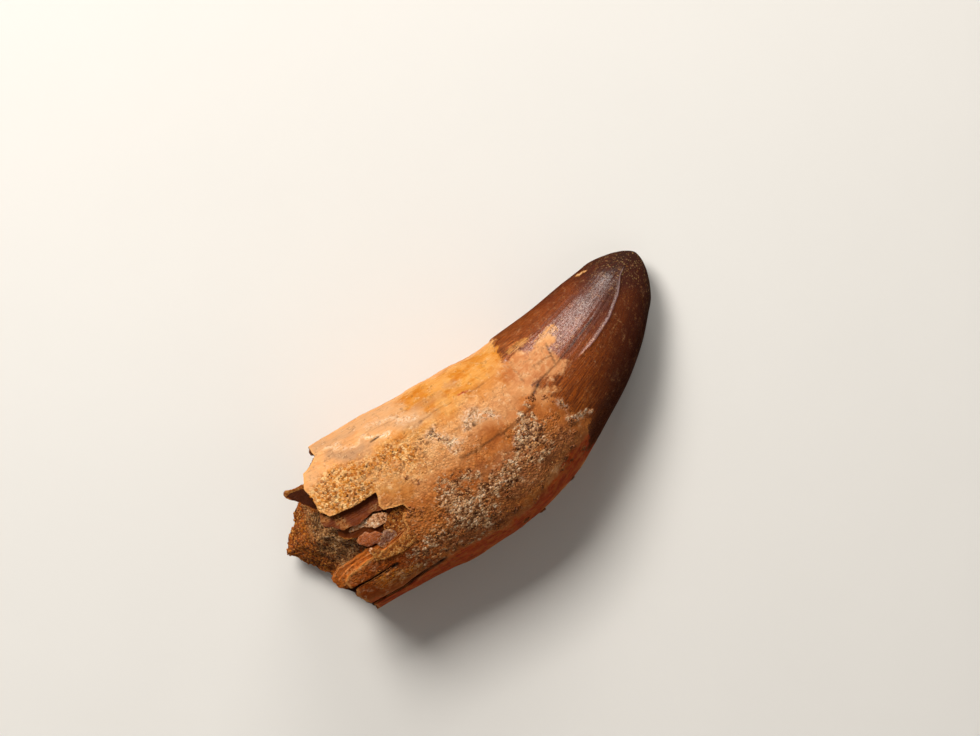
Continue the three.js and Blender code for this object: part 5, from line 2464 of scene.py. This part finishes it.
@dataclass(frozen=True)
class Studio:
    """The pale floor, the soft lights and the camera that looks straight down, in metres."""

    floor_side: float = 3.0
    floor_drop: float = 0.00005
    floor_colour: Colour = (0.74, 0.73, 0.71)
    floor_cloud: float = 0.97
    camera_place: tuple[float, float, float] = (0.00542, 0.00556, 0.620)
    camera_turn: float = -40.0
    lens: float = 180.0
    sensor: float = 36.0
    sky_power: float = 0.16
    light_colour: Colour = (1.0, 0.955, 0.89)
    lamps: tuple[Lamp, ...] = (
        Lamp("key", 2.6, 0.2, 88.0, 52.0),
        Lamp("strip", 1.1, 0.26, 48.0, 23.0),
        Lamp("fill", 0.2, 0.5, -92.0, 50.0, glossy=False),
        Lamp("sheen", 1.7, 0.3, 48.0, 28.0, diffuse=False),
    )

    def build(self, effects: Effects) -> None:
        """Build everything that isn't part of the tooth.

        Args:
            effects: The shared effects.
        """
        self.floor(effects)
        for lamp in self.lamps:
            lamp.hang(self.light_colour)
        sky = bpy.data.worlds.new("studio")
        bpy.context.scene.world = sky
        sky.use_nodes = True
        background = sky.node_tree.nodes["Background"]
        background.inputs["Color"].default_value = (*self.light_colour, 1.0)
        background.inputs["Strength"].default_value = self.sky_power
        sky.cycles_visibility.glossy = False
        data = bpy.data.cameras.new("camera")
        data.lens, data.sensor_width = self.lens, self.sensor
        data.clip_start, data.clip_end = 0.01, 10.0
        camera = bpy.data.objects.new("camera", data)
        camera.location = self.camera_place
        camera.rotation_euler = (0.0, 0.0, math.radians(self.camera_turn))
        bpy.context.scene.collection.objects.link(camera)
        bpy.context.scene.camera = camera
        bpy.context.scene.view_settings.view_transform = "Standard"

    def floor(self, effects: Effects) -> None:
        """Lay a plain pale floor just under the tooth.

        Args:
            effects: The shared effects.
        """
        half = self.floor_side / 2
        mesh = bpy.data.meshes.new("floor")
        corners = [(-half, -half, 0), (half, -half, 0), (half, half, 0), (-half, half, 0)]
        mesh.from_pydata(corners, [], [(0, 1, 2, 3)])
        on = Surface("floor", effects)
        shade = tuple(self.floor_cloud * part for part in self.floor_colour)
        colour = on.mottle(60.0, 0.3).mix(self.floor_colour, shade)
        mesh.materials.append(on.dress(None, Base_Color=colour, Roughness=0.8))
        floor = bpy.data.objects.new("floor", mesh)
        floor.location = (0.0, 0.0, -self.floor_drop)
        floor.visible_glossy = False
        bpy.context.scene.collection.objects.link(floor)


def main() -> None:
    """Build the tooth, its fill and the studio, in order."""
    logging.basicConfig(level=logging.INFO, format="%(message)s")
    effects = Effects.build()
    sub_assemblies: list[Tooth | CavityFill] = [Tooth(), CavityFill()]
    for sub_assembly in sub_assemblies:
        pieces = sub_assembly.build(effects)
        log.info("%s: %d pieces", type(sub_assembly).__name__, len(pieces))
    Studio().build(effects)


if __name__ == "__main__":
    main()
